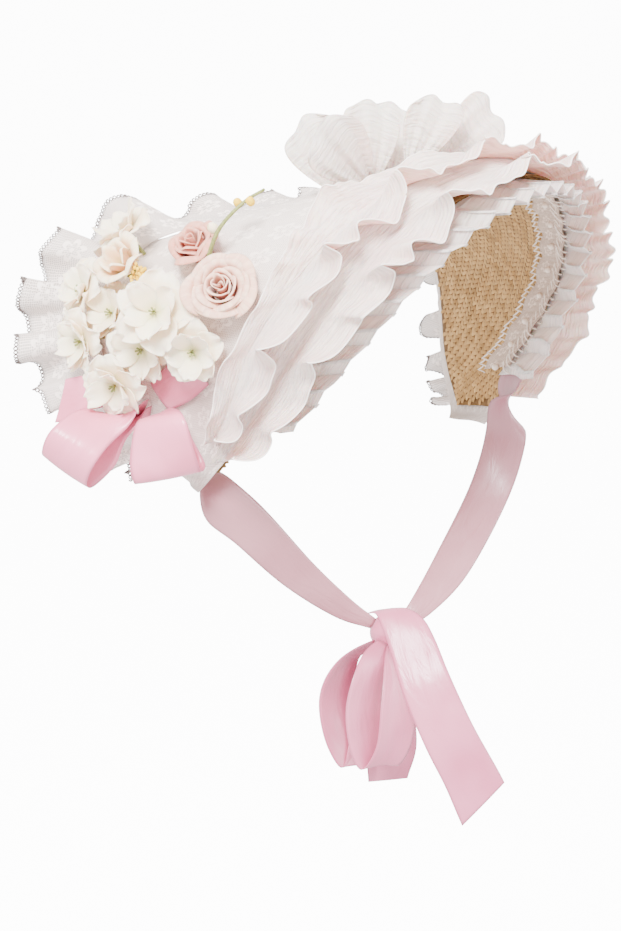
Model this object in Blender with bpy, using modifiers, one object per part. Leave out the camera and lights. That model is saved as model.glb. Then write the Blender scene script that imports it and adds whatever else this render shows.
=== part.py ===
# A straw half bonnet: a woven vault from ear to ear with lace, chiffon and a pleated frill along its
# edges, a flower cluster and a satin bow on one side, and two satin ties knotted under the chin.
# Modelled in millimetres and written to the meshes in metres. The front is -Y and up is +Z.

import math

import bmesh
import bpy
from mathutils import Vector

MM = 0.001

# Heights below count from the level where the ties are sewn on. The whole model is then lowered by
# SEAT_HEIGHT, which puts the origin on the inside top of the straw, where a head carries it.
SEAT_HEIGHT = 123.4

STRAW_WALL = 1.8
CLOTH_WALL = 1.0
SEAT_GAP = 0.5
THREAD_GAP = 0.3
OUTER_SEAT = STRAW_WALL / 2 + SEAT_GAP + CLOTH_WALL / 2
SECOND_SEAT = OUTER_SEAT + CLOTH_WALL + SEAT_GAP
INNER_SEAT = -OUTER_SEAT
INNER_SECOND_SEAT = -SECOND_SEAT

# The straw's front and back edges on the near half, mirrored for the far half.
# Columns: arch angle in degrees, front edge x, y, z, back edge x, y, z.
EDGE_ROWS = (
    (0, -93, -7, 0, -93, 22, -4),
    (20, -87, -50, 50, -105, 44, 18),
    (40, -71, -80, 95, -115, 62, 60),
    (60, -46.5, -99, 127, -88, 60, 95),
    (75, -24, -108, 141, -45, 38, 107),
    (90, 0, -111, 146, 0, 28, 113),
)
STRAW_BULGE = 8.0
FULL_DEPTH = 140.0

COLOURS = {
    "straw": (0.80, 0.65, 0.42),
    "chiffon": (0.95, 0.92, 0.92),
    "organza": (0.90, 0.89, 0.88),
    "lace": (0.92, 0.90, 0.90),
    "satin": (0.95, 0.76, 0.80),
    "rose": (0.94, 0.80, 0.76),
    "blossom": (0.96, 0.93, 0.88),
    "leaf": (0.70, 0.72, 0.50),
    "pollen": (0.93, 0.80, 0.35),
}


def clear_scene():
    for item in list(bpy.data.objects):
        bpy.data.objects.remove(item, do_unlink=True)


def material(name):
    made = bpy.data.materials.get(name)
    if made is None:
        made = bpy.data.materials.new(name)
        made.use_nodes = True
        shader = made.node_tree.nodes["Principled BSDF"]
        shader.inputs["Base Color"].default_value = (*COLOURS[name], 1.0)
        shader.inputs["Roughness"].default_value = 0.35 if name == "satin" else 0.8
        shader.inputs["Metallic"].default_value = 0.0
    return made


def collection():
    name = "straw_bonnet"
    made = bpy.data.collections.get(name)
    if made is None:
        made = bpy.data.collections.new(name)
        bpy.context.scene.collection.children.link(made)
    return made


# Shape of the vault

def mirrored(row):
    angle, front_x, front_y, front_z, back_x, back_y, back_z = row
    return (180 - angle, -front_x, front_y, front_z, -back_x, back_y, back_z)


ALL_EDGE_ROWS = EDGE_ROWS + tuple(mirrored(row) for row in reversed(EDGE_ROWS[:-1]))


def slope(rows, index, column):
    before = rows[max(index - 1, 0)]
    after = rows[min(index + 1, len(rows) - 1)]
    return (after[column] - before[column]) / (after[0] - before[0])


# Smooth curve through one column of a table, straight beyond its ends
def read_column(rows, at, column):
    first, last = rows[0], rows[-1]
    if at <= first[0]:
        return first[column] + slope(rows, 0, column) * (at - first[0])
    if at >= last[0]:
        return last[column] + slope(rows, len(rows) - 1, column) * (at - last[0])
    index = max(i for i, row in enumerate(rows) if row[0] <= at)
    left, right = rows[index], rows[index + 1]
    span = right[0] - left[0]
    part = (at - left[0]) / span
    start = slope(rows, index, column) * span
    end = slope(rows, index + 1, column) * span
    rise = right[column] - left[column]
    bend = start * part * (1 - part) ** 2 - end * part**2 * (1 - part)
    return left[column] + rise * part**2 * (3 - 2 * part) + bend


def edge_point(angle, first_column):
    return Vector([read_column(ALL_EDGE_ROWS, angle, first_column + i) for i in range(3)])


def depth(angle):
    return (edge_point(angle, 4) - edge_point(angle, 1)).length


def vault(angle, inset):
    front = edge_point(angle, 1)
    back = edge_point(angle, 4)
    span = (back - front).length
    part = inset / span
    turn = math.radians(angle)
    outward = Vector((-math.cos(turn), 0, math.sin(turn)))
    swell = STRAW_BULGE * min(1, span / FULL_DEPTH) * math.sin(math.pi * min(max(part, -0.25), 1.25))
    return front.lerp(back, part) + outward * swell


# The vault's point and its directions: along the arch, to the back and outward
def frame_at(angle, inset):
    along = (vault(angle + 1, inset) - vault(angle - 1, inset)).normalized()
    back = (vault(angle, inset + 1) - vault(angle, inset - 1)).normalized()
    outward = along.cross(back).normalized()
    along = back.cross(outward)
    return vault(angle, inset), along, back, outward


def spot(angle, inset, rise):
    point, _, _, outward = frame_at(angle, inset)
    return point + outward * rise


# Meshes

def add_object(name, mesh_data, colour):
    mesh = bpy.data.meshes.new(name)
    mesh_data.to_mesh(mesh)
    mesh_data.free()
    mesh.shade_smooth()
    mesh.set_sharp_from_angle(angle=math.radians(40))
    made = bpy.data.objects.new(name, mesh)
    made.data.materials.append(material(colour))
    collection().objects.link(made)
    return made


# A grid whose corners run from 0 to 1 each way, moved point by point to place(a, b)
def mapped_grid(columns, rows, place):
    data = bmesh.new()
    bmesh.ops.create_grid(data, x_segments=columns, y_segments=rows, size=0.5)
    for corner in data.verts:
        target = place(corner.co.x + 0.5, corner.co.y + 0.5)
        corner.co = (target - Vector((0, 0, SEAT_HEIGHT))) * MM
    return data


def sheet(name, columns, rows, place, colour, wall=CLOTH_WALL):
    made = add_object(name, mapped_grid(columns, rows, place), colour)
    thick = made.modifiers.new("wall", "SOLIDIFY")
    thick.thickness = wall * MM
    thick.offset = 0.0
    return made


# A closed body on an axis: place(a, b) with a round the axis and b from one pole to the other
def closed_round(name, columns, rows, place, colour):
    data = mapped_grid(columns, rows, place)
    bmesh.ops.remove_doubles(data, verts=data.verts, dist=0.001 * MM)
    bmesh.ops.recalc_face_normals(data, faces=data.faces)
    return add_object(name, data, colour)


def blend(low, high, part):
    return low + (high - low) * part


def side_axes(axis, guide):
    across = guide.cross(axis).normalized()
    return across, axis.cross(across).normalized()


# Straw and lace

ARCH_STEPS = 28
ARCH_STEP_ANGLE = 180 / ARCH_STEPS


def add_straw_base():
    def place(a, b):
        angle = 180 * a
        return vault(angle, depth(angle) * b)

    sheet("straw_base", ARCH_STEPS, 8, place, "straw", STRAW_WALL)


COVER_START = 14.0
COVER_PAST_EDGE = 5.0
COVER_EASE = 0.15


def add_lace_cover():
    def place(a, b):
        angle = blend(-ARCH_STEP_ANGLE, 180 + ARCH_STEP_ANGLE, a)
        inset = blend(COVER_START, depth(angle) + COVER_PAST_EDGE, b)
        return spot(angle, inset, OUTER_SEAT + COVER_EASE)

    sheet("lace_cover", ARCH_STEPS + 2, 6, place, "lace")


# Columns: arch angle, width of the lace, lowest lean and highest lean over the vault in degrees.
LACE_ROWS = (
    (0, 32, 5, 22),
    (20, 36, 5, 22),
    (40, 44, 5, 26),
    (60, 42, 6, 30),
    (75, 28, 8, 28),
    (90, 18, 8, 24),
)
LACE_WAVES = 20
LACE_INSET = 9.0


def near_angle(angle):
    return min(angle, 180 - angle)


# A ruffle standing on the vault: lean is measured from the surface, forward when way is -1
def ruffle_point(angle, inset, seat, way, reach, lean):
    point, _, back, outward = frame_at(angle, inset)
    turn = math.radians(lean)
    return point + outward * (seat + reach * math.sin(turn)) + back * (way * reach * math.cos(turn))


def wave_lean(low, high, phase, part):
    middle = (low + high) / 2
    ramp = min(1.0, 1.6 * part) ** 0.7
    return middle + (high - low) / 2 * math.sin(phase) * ramp


def add_lace_edge():
    def place(a, b):
        angle = blend(1, 179, a)
        near = near_angle(angle)
        width, low, high = [read_column(LACE_ROWS, near, i) for i in (1, 2, 3)]
        phase = 2 * math.pi * LACE_WAVES * a
        lean = wave_lean(low, high, phase, b)
        return ruffle_point(angle, depth(angle) - LACE_INSET, SECOND_SEAT, 1, width * b, lean)

    sheet("lace_edge", LACE_WAVES * 4, 2, place, "lace")


# Chiffon rows

CHIFFON_WAVES = 9
CHIFFON_STEPS = 8
FRONT_ROW = {"inset": 9.0, "width": 29.0, "low": 6.0, "high": 44.0}
BACK_ROW = {"inset": 34.0, "front_width": 29.0, "low": 22.0, "high": 60.0}
# The back row's half towards the back, narrow beside the flowers and under the tall loops.
# Columns: arch angle, width.
BACK_HALF_ROWS = ((0, 14), (20, 13), (32, 10), (45, 12), (58, 19), (70, 10), (102, 10), (118, 19), (180, 22))
CHIFFON_START = 3.0


def chiffon_phase(a):
    return 2 * math.pi * CHIFFON_WAVES * a


# The rows narrow towards the ties, where the vault is only as deep as a ribbon is wide
def taper(angle):
    return min(1.0, 0.3 + near_angle(angle) / 40)


def add_chiffon_front():
    def place(a, b):
        angle = blend(CHIFFON_START, 180 - CHIFFON_START, a)
        lean = wave_lean(FRONT_ROW["low"], FRONT_ROW["high"], chiffon_phase(a), b)
        inset = FRONT_ROW["inset"] * taper(angle)
        reach = FRONT_ROW["width"] * (0.55 + 0.45 * taper(angle)) * b
        return ruffle_point(angle, inset, OUTER_SEAT, -1, reach, lean)

    sheet("chiffon_front", CHIFFON_WAVES * CHIFFON_STEPS, 2, place, "chiffon")


def add_chiffon_back():
    def place(a, b):
        angle = blend(CHIFFON_START + 6, 174 - CHIFFON_START, a)
        side = 2 * b - 1
        width = read_column(BACK_HALF_ROWS, angle, 1) if side > 0 else BACK_ROW["front_width"]
        lean = wave_lean(BACK_ROW["low"], BACK_ROW["high"], chiffon_phase(a), abs(side))
        inset = BACK_ROW["inset"] * taper(angle)
        reach = width * taper(angle) * abs(side)
        way = 1 if side > 0 else -1
        return ruffle_point(angle, inset, SECOND_SEAT, way, reach, lean)

    sheet("chiffon_back", CHIFFON_WAVES * CHIFFON_STEPS, 4, place, "chiffon")


# Pleated frill and pearl lace inside the front edge

PLEATS = 23
FRILL = {"inset": 10.0, "past_edge": 22.0, "height": 2.4, "flare": 2.0}
FRILL_START = 8.0
TIE_ROOM = {"depth": 4.4, "from_angle": 146.0, "full_angle": 162.0}


# The far tie is sewn between the straw and the frill, which steps inward for it
def tie_room(angle):
    part = (angle - TIE_ROOM["from_angle"]) / (TIE_ROOM["full_angle"] - TIE_ROOM["from_angle"])
    part = min(1, max(0, part))
    return TIE_ROOM["depth"] * part**2 * (3 - 2 * part)


def add_inner_frill():
    def place(a, b):
        angle = blend(FRILL_START, 180 - FRILL_START, a)
        inset = blend(FRILL["inset"], -FRILL["past_edge"], b)
        fold = math.sin(2 * math.pi * PLEATS * a)
        square = max(-1.0, min(1.0, 1.6 * fold))
        rise = INNER_SEAT - FRILL["height"] * b * (1 - square) / 2 + FRILL["flare"] * max(0, b - 0.3) ** 2
        return spot(angle, inset, rise - tie_room(angle))

    sheet("inner_frill", PLEATS * 4, 2, place, "organza")


PEARL_LACE = {"front": 3.0, "back": 30.0, "waves": 22, "height": 1.2, "ease": 0.6}


def add_inner_lace():
    def place(a, b):
        angle = blend(FRILL_START + 2, 178 - FRILL_START, a)
        inset = blend(PEARL_LACE["front"], PEARL_LACE["back"], b)
        wave = (1 - math.cos(2 * math.pi * PEARL_LACE["waves"] * a)) / 2
        rise = INNER_SECOND_SEAT - PEARL_LACE["ease"] - PEARL_LACE["height"] * wave * abs(2 * b - 1)
        return spot(angle, inset, rise - tie_room(angle))

    sheet("inner_lace", PEARL_LACE["waves"] * 2, 2, place, "lace")


# Tall chiffon loops on top

# Columns: name, arch angle, inset, lean back, lean up the arch, height, width, tip bent back.
PETAL_ROWS = (
    ("petal_1", 75, 61, -4, -34, 40, 31, 5),
    ("petal_2", 79, 69, -8, 14, 36, 27, 4),
    ("petal_3", 86, 60, -22, 30, 35, 26, 4),
    ("petal_4", 95, 62, -30, 48, 36, 28, 4),
    ("petal_5", 75, 79, 14, -4, 36, 28, 4),
    ("petal_6", 86, 76, 8, 30, 36, 26, 4),
    ("petal_7", 80, 90, 36, 10, 30, 26, 4),
)
PETAL_SEAT = OUTER_SEAT + COVER_EASE + CLOTH_WALL / 2 + THREAD_GAP
PETAL_FOOT_SHARE = 0.16
PETAL_FRONT = {"along": -0.60, "back": -0.75}


# A petal faces the open front, as wide as its column says above the middle of its height
def add_petal(name, angle, inset, lean_back, lean_up, height, width, bend):
    point, along, back, outward = frame_at(angle, inset)
    up = outward + back * math.tan(math.radians(lean_back)) + along * math.tan(math.radians(lean_up))
    up.normalize()
    facing = along * PETAL_FRONT["along"] + back * PETAL_FRONT["back"]
    across = up.cross(facing).normalized()
    facing = across.cross(up)

    def half_width(b):
        return width / 2 * blend(PETAL_FOOT_SHARE, 1, math.sin(math.pi * (0.05 + 0.78 * b)))

    dip = half_width(0) * abs(across.dot(outward)) + CLOTH_WALL / 2 * abs(facing.dot(outward))
    foot = point + outward * (PETAL_SEAT + dip)

    def place(a, b):
        side = 2 * a - 1
        rise = height * b * (1 - 0.16 * side**2)
        cup = 5.0 * side**2 * b - bend * b**2
        return foot + across * (side * half_width(b)) + up * rise + facing * cup

    sheet(name, 5, 4, place, "chiffon")


# Flowers

FLOWER_SEAT = OUTER_SEAT + COVER_EASE + CLOTH_WALL / 2 + THREAD_GAP

# Profile of a blossom from the foot, out under its petals, over the rim and back to its throat.
# Columns: radius as a share of the flower's, height as a share of the stem, share of the cup.
BLOSSOM_PROFILE = (
    (0.00, 0.0, 0.0),
    (0.12, 0.0, 0.0),
    (0.16, 1.0, 0.0),
    (0.62, 1.0, 0.45),
    (1.00, 1.0, 0.85),
    (1.00, 1.0, 1.05),
    (0.60, 1.0, 0.75),
    (0.00, 1.0, 0.25),
)

# Columns: name, arch angle, inset, lean back, lean up the arch, stem, radius, cup, petals.
BLOSSOM_ROWS = (
    ("blossom_1", 34, 99, -14, -6, 11, 16, 4, 5),
    ("blossom_2", 38, 94, -20, 6, 20, 18, 5, 5),
    ("blossom_3", 41, 128, 0, 2, 9, 15, 4, 5),
    ("blossom_4", 31, 108, -6, -14, 18, 16, 4, 5),
    ("blossom_5", 32, 67, -20, -8, 11, 15, 4, 5),
    ("blossom_6", 46, 147, 12, -3, 17, 15, 4, 5),
    ("blossom_7", 57, 152, 10, 6, 14, 16, 4, 5),
    ("blossom_8", 38, 131, 14, -5, 18, 15, 4, 5),
)
LOTUS = {"angle": 49.0, "inset": 132.0, "stem": 12.0, "radius": 13.0, "cup": 10.0, "petals": 8}
FOOT_RADIUS = 2.0
FOOT_DROP = 0.3


# Share of the full radius at a turn round the flower: notches between full petals
def lobe(turn, petals):
    return 0.62 + 0.38 * abs(math.sin(turn * petals / 2)) ** 0.7


def flower_axis(angle, inset, lean_back, lean_up):
    point, along, back, outward = frame_at(angle, inset)
    axis = outward + back * math.tan(math.radians(lean_back)) + along * math.tan(math.radians(lean_up))
    return point + outward * FLOWER_SEAT, axis.normalized(), along


def add_blossom(name, angle, inset, lean_back, lean_up, stem, radius, cup, petals, colour="blossom"):
    foot, axis, guide = flower_axis(angle, inset, lean_back, lean_up)
    across, upright = side_axes(axis, guide)
    last = len(BLOSSOM_PROFILE) - 1
    lift = FOOT_RADIUS * math.tan(math.radians(max(abs(lean_back), abs(lean_up)))) - FOOT_DROP

    def place(a, b):
        turn = 2 * math.pi * a
        share, stem_share, cup_share = BLOSSOM_PROFILE[round(b * last)]
        reach = radius * share * (lobe(turn, petals) if share > 0.3 else 1)
        height = lift + stem * stem_share + cup * cup_share
        side = across * math.cos(turn) + upright * math.sin(turn)
        return foot + axis * height + side * reach

    closed_round(name, petals * 3, last, place, colour)


def add_cone(name, foot, axis, guide, low_radius, high_radius, height, colour):
    across, upright = side_axes(axis, guide)

    def place(a, b):
        turn = 2 * math.pi * a
        row = round(3 * b)
        reach = (0, low_radius, high_radius, 0)[row]
        level = (0, 0, height, height)[row]
        side = across * math.cos(turn) + upright * math.sin(turn)
        return foot + axis * level + side * reach

    closed_round(name, 8, 3, place, colour)


def add_lotus():
    foot, axis, guide = flower_axis(LOTUS["angle"], LOTUS["inset"], 0, 0)
    add_cone("lotus_base", foot, axis, guide, 2.5, 4.5, LOTUS["stem"] - SEAT_GAP, "leaf")
    across, upright = side_axes(axis, guide)
    last = len(BLOSSOM_PROFILE) - 1

    def place(a, b):
        turn = 2 * math.pi * a
        share, stem_share, cup_share = BLOSSOM_PROFILE[round(b * last)]
        reach = LOTUS["radius"] * share * (lobe(turn, LOTUS["petals"]) if share > 0.3 else 1)
        height = LOTUS["stem"] + LOTUS["cup"] * cup_share + 0.5 * stem_share
        side = across * math.cos(turn) + upright * math.sin(turn)
        return foot + axis * height + side * reach

    closed_round("lotus", LOTUS["petals"] * 2, last, place, "blossom")


# A rose is one sheet wound round its axis, its rim waved into petals
# Columns: name, arch angle, inset, lean back, lean up, radius, height, turns.
ROSE_ROWS = (
    ("rose", 41.6, 68, -20, 8, 16.5, 13, 2.8),
    ("rosebud", 53, 106, -6, 4, 12, 13, 2.2),
)
ROSE_HEART = 2.5
ROSE_FOOT_SHARE = 0.75
ROSE_DROP = 0.5


def add_rose(name, angle, inset, lean_back, lean_up, radius, height, turns):
    foot, axis, guide = flower_axis(angle, inset, lean_back, lean_up)
    across, upright = side_axes(axis, guide)
    steepest = math.radians(max(abs(lean_back), abs(lean_up)))
    lift = ROSE_FOOT_SHARE * radius * math.tan(steepest) - ROSE_DROP

    def place(a, b):
        turn = 2 * math.pi * turns * a
        open_out = blend(ROSE_FOOT_SHARE, 1.0, b**1.5)
        reach = blend(ROSE_HEART, radius, a) * blend(1, open_out, a)
        rim = height * (1 - 0.25 * a) * (1 + 0.07 * math.sin(2.5 * turn))
        side = across * math.cos(turn) + upright * math.sin(turn)
        return foot + axis * (lift + rim * b) + side * reach

    sheet(name, round(10 * turns), 2, place, "rose")


def add_stamens():
    foot, axis, guide = flower_axis(46, 115, 0, 0)
    add_cone("stamens", foot, axis, guide, 2.0, 4.5, 20, "pollen")


SPRIG_POINTS = ((48, 90, FLOWER_SEAT + 0.5), (50, 89, 11), (54, 87, 18), (59, 84, 20), (64, 80, 19))
SPRIG_RADIUS = 0.8
# Columns: name, position along the sprig's points, side step in mm, radius.
BUD_ROWS = (
    ("bud_1", 2, 4.0, 3.0),
    ("bud_2", 3, 3.4, 2.4),
    ("bud_3", 3, -3.4, 2.4),
)


def add_tube(name, points, radius, colour):
    curve = bpy.data.curves.new(name, "CURVE")
    curve.dimensions = "3D"
    curve.bevel_depth = radius * MM
    curve.bevel_resolution = 1
    curve.use_fill_caps = True
    line = curve.splines.new("POLY")
    line.points.add(len(points) - 1)
    for corner, point in zip(line.points, points):
        corner.co = (*((point - Vector((0, 0, SEAT_HEIGHT))) * MM), 1)
    made = bpy.data.objects.new(name, curve)
    made.data.materials.append(material(colour))
    collection().objects.link(made)


def add_sprig():
    points = [spot(*row) for row in SPRIG_POINTS]
    add_tube("sprig_stem", smooth_path(points, 12), SPRIG_RADIUS, "leaf")
    for name, index, step, radius in BUD_ROWS:
        angle, inset, rise = SPRIG_POINTS[index]
        _, _, back, outward = frame_at(angle, inset)
        reach = SPRIG_RADIUS + SEAT_GAP + radius
        centre = points[index] + back * (reach if step > 0 else -reach)
        foot = centre - outward * radius
        add_cone(name, foot, outward, back, radius * 0.6, radius * 0.8, radius * 2, "blossom")


# Ribbons

# Smooth curve through a few points, read at even steps of its parameter
def smooth_path(points, steps):
    rows = [(i, *point) for i, point in enumerate(points)]
    last = len(points) - 1
    reads = [last * step / steps for step in range(steps + 1)]
    return [Vector([read_column(rows, at, i) for i in (1, 2, 3)]) for at in reads]


# A ribbon follows its points. Each row holds x, y, z, half its width and the direction of that width
def ribbon(name, rows, steps, wall=CLOTH_WALL, colour="satin"):
    table = [(i, *row) for i, row in enumerate(rows)]
    last = len(rows) - 1

    def place(a, b):
        values = [read_column(table, last * a, column) for column in range(1, 8)]
        middle = Vector(values[:3])
        side = Vector(values[4:]).normalized()
        return middle + side * (values[3] * (2 * b - 1))

    sheet(name, steps, 2, place, colour, wall)


# Columns: x, y, z, half width, then the direction in which the width runs.
FREE_RIBBONS = {
    "bow_loop_left": (
        (-137, 27, 26, 11, 0.36, -0.78, -0.5),
        (-154, 26, 18, 13, 0.51, -0.66, -0.56),
        (-155, 33, 6, 13, 0.51, -0.66, -0.56),
        (-148, 37, 2, 13, 0.51, -0.66, -0.56),
        (-137, 34, 11, 13, 0.44, -0.73, -0.53),
        (-129, 28, 24, 10, 0.3, -0.84, -0.45),
    ),
    "bow_loop_right": (
        (-129, -8, 33, 13, 0.33, -0.92, 0.23),
        (-131, -11, 17, 16.5, 0.48, -0.84, 0.24),
        (-127, -10, 5, 16.5, 0.62, -0.75, 0.23),
        (-118, -2, 5, 16.5, 0.62, -0.75, 0.23),
        (-115, 3, 17, 12, 0.44, -0.86, 0.25),
        (-114, 3, 27, 8, 0.33, -0.92, 0.23),
    ),
    "bow_tail": (
        (-133, 38, 38, 9, 0.19, -0.1, 0.98),
        (-138, 47, 34, 11, 0.19, -0.1, 0.98),
        (-141, 54, 32, 11, 0.22, -0.13, 0.97),
    ),
    "tie_near": (
        (-86, 2, -17, 12, 0.55, 0.60, 0.50),
        (-71, -3, -32, 11.5, 0.66, 0.0, 0.66),
        (-46, -10, -60, 9, 0.66, -0.30, 0.66),
        (-23, -17, -81, 6, 0.60, -0.30, 0.74),
    ),
    "tie_far": (
        (86, -21, -12, 11.5, 0.36, -0.86, -0.35),
        (72, -23, -39, 10.5, 0.50, -0.75, -0.44),
        (38, -31, -69, 9.5, 0.57, -0.68, -0.47),
        (16, -32, -86, 6, 0.55, -0.67, -0.49),
    ),
    "chin_loop_right": (
        (-24, -40, -106, 11, 0.98, 0.03, -0.18),
        (-32, -43, -124, 12.5, 0.98, 0.03, -0.18),
        (-34, -48, -143, 12.5, 0.98, 0.03, -0.18),
        (-30, -52, -154, 12.5, 0.98, 0.03, -0.18),
        (-22, -54, -144, 12.5, 0.98, 0.03, -0.18),
        (-17, -52, -125, 12.5, 0.98, 0.03, -0.18),
        (-11, -44, -108, 9, 0.98, 0.03, -0.18),
    ),
    "chin_loop_left": (
        (-29, -22, -107, 10, 0.78, 0.57, -0.25),
        (-37, -21, -124, 12.5, 0.78, 0.57, -0.25),
        (-38, -26, -145, 12.5, 0.78, 0.57, -0.25),
        (-30, -31, -160, 12.5, 0.78, 0.57, -0.25),
        (-18, -26, -150, 12.5, 0.78, 0.57, -0.25),
        (-14, -23, -130, 12, 0.78, 0.57, -0.25),
        (-12, -21, -114, 8, 0.78, 0.57, -0.25),
    ),
    "chin_tail_long": (
        (-3, -48, -98, 11, 0.76, -0.58, 0.29),
        (-6, -60, -114, 12.5, 0.74, -0.52, 0.41),
        (-4, -74, -137, 13, 0.73, -0.50, 0.45),
        (2, -83, -157, 13.5, 0.72, -0.47, 0.51),
        (6, -89, -172, 15, 0.64, -0.33, 0.69),
    ),
    "chin_tail_short": (
        (5, -18, -118, 10, 0.74, -0.67, 0.0),
        (5, -20, -135, 12.5, 0.74, -0.66, 0.05),
        (2, -26, -158, 13, 0.74, -0.66, 0.05),
        (-2, -28, -175, 10, 0.74, -0.66, 0.1),
    ),
}

# Ends sewn to the vault, before the free rows and after them. Columns: arch angle, inset, rise,
# half width, share of the width's direction along the arch, share to the back.
TIE_SEAT = INNER_SEAT - 0.8
TIE_START_NEAR = (5, 16, TIE_SEAT, 12.0, 0.0, 1.0)
TIE_TURN_NEAR = (-5, 16, 2 * INNER_SEAT, 12.5, 0.0, 1.0)
TIE_START_FAR = (165, 3, INNER_SEAT - 0.3, 11.5, 0.0, 1.0)
TIE_TURN_FAR = (174, -4, INNER_SEAT - 2.6, 11.5, 0.0, 1.0)
SEWN_STARTS = {
    "bow_loop_left": ((22, 85, 7.0, 7, 0.8, -1.0),),
    "bow_loop_right": ((20, 68, 8.0, 7, 0.2, -1.0),),
    "bow_tail": ((27, 103, 3.4, 6, 1.0, 0.0),),
    "tie_near": (TIE_START_NEAR, TIE_TURN_NEAR),
    "tie_far": (TIE_START_FAR, TIE_TURN_FAR),
}
SEWN_LASTS = {
    "bow_loop_left": ((20, 84, 3.4, 7, 0.8, -1.0),),
    "bow_loop_right": ((17, 64, 3.4, 7, 0.2, -1.0),),
}

KNOT_CENTRE = Vector((-1, -27, -96))
KNOT_RADIUS = 9.5
KNOT_END_WIDTH = 5.0
# Columns: ribbon, True where its first end meets the knot, True where its last end does.
KNOTTED_ENDS = {
    "tie_near": (False, True),
    "tie_far": (False, True),
    "chin_loop_left": (True, True),
    "chin_loop_right": (True, True),
    "chin_tail_long": (True, False),
    "chin_tail_short": (True, False),
}
RIBBON_STEPS = {"bow_tail": 6, "tie_near": 14, "tie_far": 14, "chin_tail_long": 10, "chin_tail_short": 8}
LOOP_STEPS = 16


def sewn_row(angle, inset, rise, half, along_share, back_share):
    _, along, back, _ = frame_at(angle, inset)
    side = along * along_share + back * back_share
    return (*spot(angle, inset, rise), half, *side)


def knotted_row(neighbour):
    toward = (Vector(neighbour[:3]) - KNOT_CENTRE).normalized()
    point = KNOT_CENTRE + toward * (KNOT_RADIUS + SEAT_GAP)
    side = Vector(neighbour[4:])
    side -= toward * side.dot(toward)
    return (*point, KNOT_END_WIDTH, *side.normalized())


def add_free_ribbons():
    for name, rows in FREE_RIBBONS.items():
        starts = [sewn_row(*end) for end in SEWN_STARTS.get(name, ())]
        lasts = [sewn_row(*end) for end in SEWN_LASTS.get(name, ())]
        rows = starts + list(rows) + lasts
        first_knotted, last_knotted = KNOTTED_ENDS.get(name, (False, False))
        if first_knotted:
            rows.insert(0, knotted_row(rows[0]))
        if last_knotted:
            rows.append(knotted_row(rows[-1]))
        ribbon(name, rows, RIBBON_STEPS.get(name, LOOP_STEPS))


# The band lies along the vault beside the rose. Columns: arch angle, inset, rise, half width.
BAND_ROWS = ((23.5, 80, 3.4, 8), (25.5, 68, 4.6, 10), (27, 58, 3.6, 8))


def add_bow_band():
    ribbon("bow_band", [sewn_row(*row, 1.0, 0.3) for row in BAND_ROWS], 5)


def add_chin_knot():
    data = bmesh.new()
    bmesh.ops.create_uvsphere(data, u_segments=10, v_segments=6, radius=KNOT_RADIUS * MM)
    centre = (KNOT_CENTRE - Vector((0, 0, SEAT_HEIGHT))) * MM
    bmesh.ops.translate(data, verts=data.verts, vec=centre)
    add_object("chin_knot", data, "satin")


def build():
    clear_scene()
    add_straw_base()
    add_lace_cover()
    add_lace_edge()
    add_chiffon_front()
    add_chiffon_back()
    add_inner_frill()
    add_inner_lace()
    for row in PETAL_ROWS:
        add_petal(*row)
    for row in BLOSSOM_ROWS:
        add_blossom(*row)
    add_lotus()
    for row in ROSE_ROWS:
        add_rose(*row)
    add_stamens()
    add_sprig()
    add_free_ribbons()
    add_bow_band()
    add_chin_knot()


build()
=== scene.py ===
# Looks for a straw half bonnet with ruffles, flowers, a satin bow and satin chin ties
import math
import random

import bmesh
import bpy
import numpy as np
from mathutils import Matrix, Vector


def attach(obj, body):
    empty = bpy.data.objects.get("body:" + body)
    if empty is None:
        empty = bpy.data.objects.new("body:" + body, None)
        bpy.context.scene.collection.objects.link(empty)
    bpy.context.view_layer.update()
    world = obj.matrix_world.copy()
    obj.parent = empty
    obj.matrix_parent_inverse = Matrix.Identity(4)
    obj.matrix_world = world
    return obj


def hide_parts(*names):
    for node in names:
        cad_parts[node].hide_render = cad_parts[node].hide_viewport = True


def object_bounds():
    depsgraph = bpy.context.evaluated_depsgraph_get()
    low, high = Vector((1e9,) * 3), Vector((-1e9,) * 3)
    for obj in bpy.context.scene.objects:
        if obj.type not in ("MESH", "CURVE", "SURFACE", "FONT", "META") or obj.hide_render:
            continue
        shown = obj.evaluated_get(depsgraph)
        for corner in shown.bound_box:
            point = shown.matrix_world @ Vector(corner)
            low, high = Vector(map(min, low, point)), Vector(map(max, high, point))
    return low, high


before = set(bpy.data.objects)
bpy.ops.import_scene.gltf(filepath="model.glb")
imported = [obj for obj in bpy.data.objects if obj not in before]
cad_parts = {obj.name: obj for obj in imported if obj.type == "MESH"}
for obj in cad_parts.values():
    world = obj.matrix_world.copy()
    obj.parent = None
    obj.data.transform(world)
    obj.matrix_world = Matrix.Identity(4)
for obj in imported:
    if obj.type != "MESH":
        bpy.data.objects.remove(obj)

cadBox = [list(corner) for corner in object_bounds()]

# Shapes are worked out in millimetres from the level of the ties, as the solids were
mm = 0.001
seatHeight = 123.4
outerSeat = 1.9
secondSeat = 3.4
coverEase = 0.15
scene = bpy.context.scene


# helpers for tables and directions
def blendTo(low, high, part):
    return low + (high - low) * part


def smoothStep(low, high, value):
    part = np.clip((np.asarray(value, float) - low) / (high - low), 0, 1)
    return part * part * (3 - 2 * part)


def unit(vectors):
    return vectors / np.maximum(np.linalg.norm(vectors, axis=-1, keepdims=True), 1e-9)


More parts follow.
